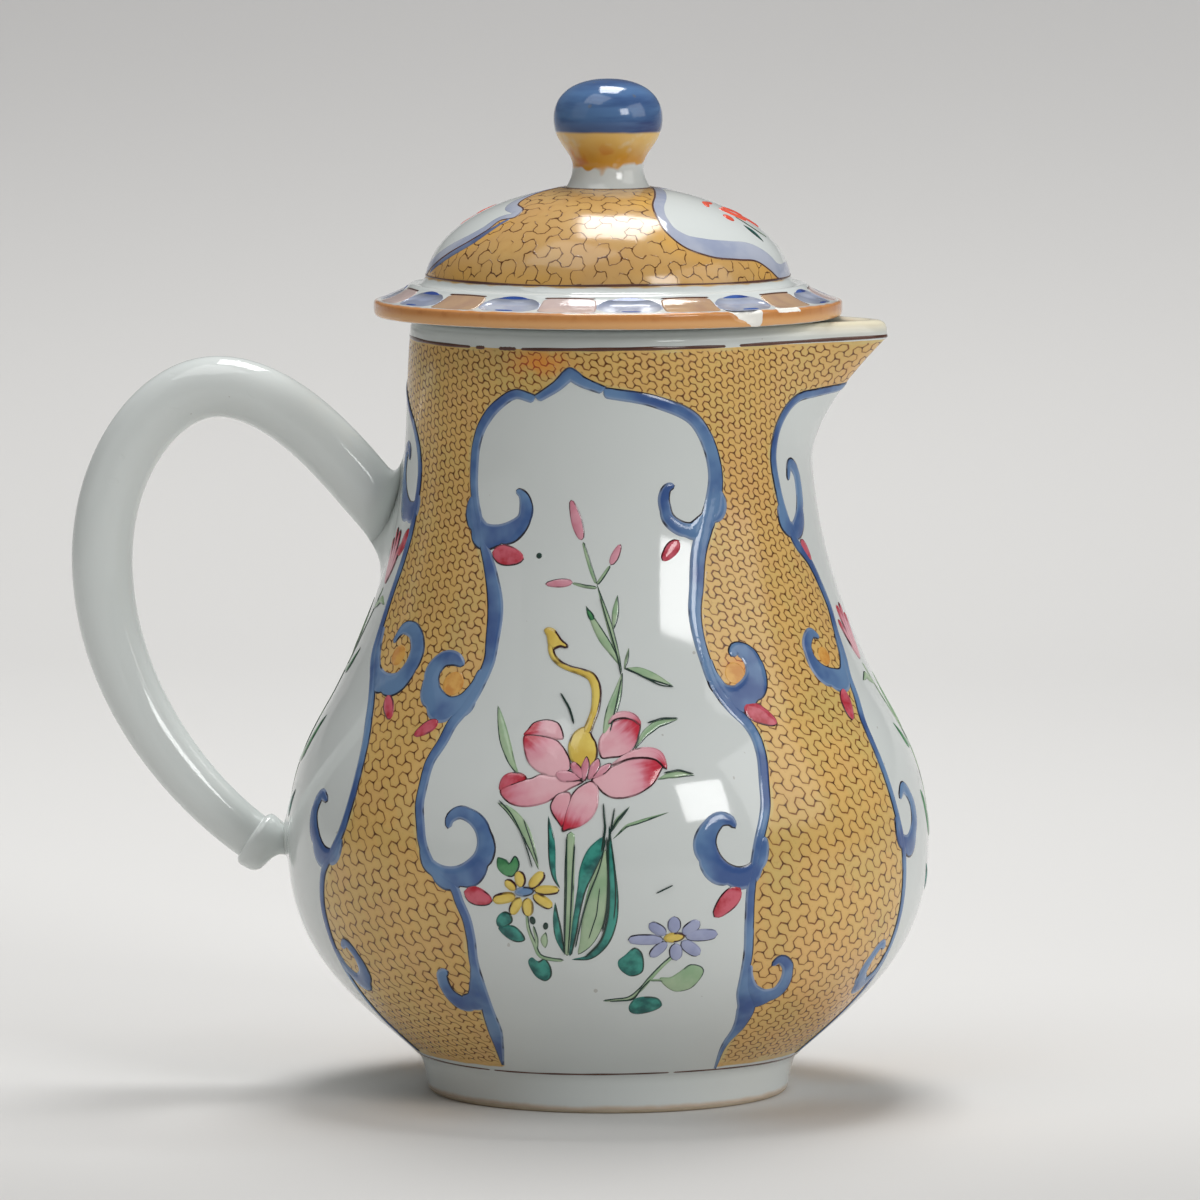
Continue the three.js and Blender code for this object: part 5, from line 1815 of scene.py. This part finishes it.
def set_stage(scene):
    """The table, the soft lamps and the camera."""
    sheet_of_paper(scene.jug_colours)
    aim = AXIS + Vector((0, 0, AIM_HEIGHT))
    # Where each lamp hangs round the jug, its width and height in metres, and its watts.
    for name, place, size, watts in (
        ("tall_window", (43, 25, 1.3), (0.38, 0.4), 5),
        ("right_fill", (76, 25, 1.5), (0.9, 0.9), 4.5),
        ("overhead", (178, 71, 1.2), (0.42, 0.6), 10),
        ("ceiling", (-40, 66, 1.3), (0.8, 0.8), 4.2),
        ("left_fill", (-60, 25, 1.6), (1.0, 1.2), 1.2),
    ):
        lamp(name, round_place(*place), aim, size, watts)
    world = bpy.data.worlds.new("pale_room")
    scene.world = world
    world.use_nodes = True
    tree = world.node_tree
    tree.nodes["Background"].inputs["Color"].default_value = opaque(shade(205, 204, 202))
    tree.nodes["Background"].inputs["Strength"].default_value = 0.2

    data = bpy.data.cameras.new("view")
    data.lens = CAMERA_LENS
    data.sensor_width = 36
    data.clip_start, data.clip_end = 0.05, 20
    camera = bpy.data.objects.new("view", data)
    back = Vector((math.sin(CAMERA_TURN), -math.cos(CAMERA_TURN), 0))
    right = Vector((math.cos(CAMERA_TURN), math.sin(CAMERA_TURN), 0))
    camera.location = AXIS + back * CAMERA_AWAY + Vector((0, 0, CAMERA_HEIGHT))
    target = AXIS + right * SHIFT_RIGHT + Vector((0, 0, LOOKS_AT))
    camera.rotation_euler = (target - camera.location).to_track_quat("-Z", "Y").to_euler()
    scene.collection.objects.link(camera)
    bpy.context.scene.camera = camera
    scene.view_settings.view_transform = "Standard"


# ---- Operators and panel ----


class JugStep:
    """A step that shapes or paints pieces of the jug from the scene's settings."""

    bl_options = {"REGISTER", "UNDO"}

    def execute(self, context):
        type(self).work(context.scene)
        return {"FINISHED"}


class CREAMJUG_OT_throw_jug(JugStep, bpy.types.Operator):
    """Throw the jug's body and pull its beak"""

    bl_idname = "cream_jug.throw_jug"
    bl_label = "Throw Jug"
    work = throw_jug


class CREAMJUG_OT_turn_foot(JugStep, bpy.types.Operator):
    """Turn the foot ring"""

    bl_idname = "cream_jug.turn_foot"
    bl_label = "Turn Foot"
    work = turn_foot


class CREAMJUG_OT_pull_handle(JugStep, bpy.types.Operator):
    """Pull the loop handle and lute its two roots"""

    bl_idname = "cream_jug.pull_handle"
    bl_label = "Pull Handle"
    work = pull_handle


class CREAMJUG_OT_turn_cover(JugStep, bpy.types.Operator):
    """Turn the domed cover, its collar and its knop"""

    bl_idname = "cream_jug.turn_cover"
    bl_label = "Turn Cover"
    work = turn_cover


class CREAMJUG_OT_paint_scrolls(JugStep, bpy.types.Operator):
    """Paint the scroll borders, their buds and the lines at lip and foot"""

    bl_idname = "cream_jug.paint_scrolls"
    bl_label = "Paint Scrolls"
    work = paint_scrolls


class CREAMJUG_OT_paint_sprays(JugStep, bpy.types.Operator):
    """Paint the flower sprays in the panels"""

    bl_idname = "cream_jug.paint_sprays"
    bl_label = "Paint Sprays"
    work = paint_sprays


class CREAMJUG_OT_paint_cover(JugStep, bpy.types.Operator):
    """Paint the cover's reserves, its brim band and its lines"""

    bl_idname = "cream_jug.paint_cover"
    bl_label = "Paint Cover"
    work = paint_cover


class CREAMJUG_OT_set_stage(JugStep, bpy.types.Operator):
    """Lay the table, hang the lamps and place the camera"""

    bl_idname = "cream_jug.set_stage"
    bl_label = "Set Stage"
    work = set_stage


STEPS = (
    CREAMJUG_OT_throw_jug,
    CREAMJUG_OT_turn_foot,
    CREAMJUG_OT_pull_handle,
    CREAMJUG_OT_turn_cover,
    CREAMJUG_OT_paint_scrolls,
    CREAMJUG_OT_paint_sprays,
    CREAMJUG_OT_paint_cover,
    CREAMJUG_OT_set_stage,
)


class CREAMJUG_PT_steps(bpy.types.Panel):
    """The steps of the work, with the sizes and colours they use"""

    bl_label = "Cream Jug"
    bl_space_type = "VIEW_3D"
    bl_region_type = "UI"
    bl_category = "Cream Jug"

    def draw(self, context):
        for step in STEPS:
            self.layout.operator(step.bl_idname)
        for group in (context.scene.jug_sizes, context.scene.jug_colours):
            column = self.layout.column(align=True)
            for name in group.bl_rna.properties.keys():
                if name not in ("rna_type", "name"):
                    column.prop(group, name)


CLASSES = (JugSizes, JugColours, *STEPS, CREAMJUG_PT_steps)


def register():
    for each in CLASSES:
        bpy.utils.register_class(each)
    bpy.types.Scene.jug_sizes = PointerProperty(type=JugSizes)
    bpy.types.Scene.jug_colours = PointerProperty(type=JugColours)


def unregister():
    del bpy.types.Scene.jug_colours
    del bpy.types.Scene.jug_sizes
    for each in reversed(CLASSES):
        bpy.utils.unregister_class(each)


def main():
    register()
    for step in STEPS:
        group, name = step.bl_idname.split(".")
        getattr(getattr(bpy.ops, group), name)()


if __name__ == "__main__":
    main()
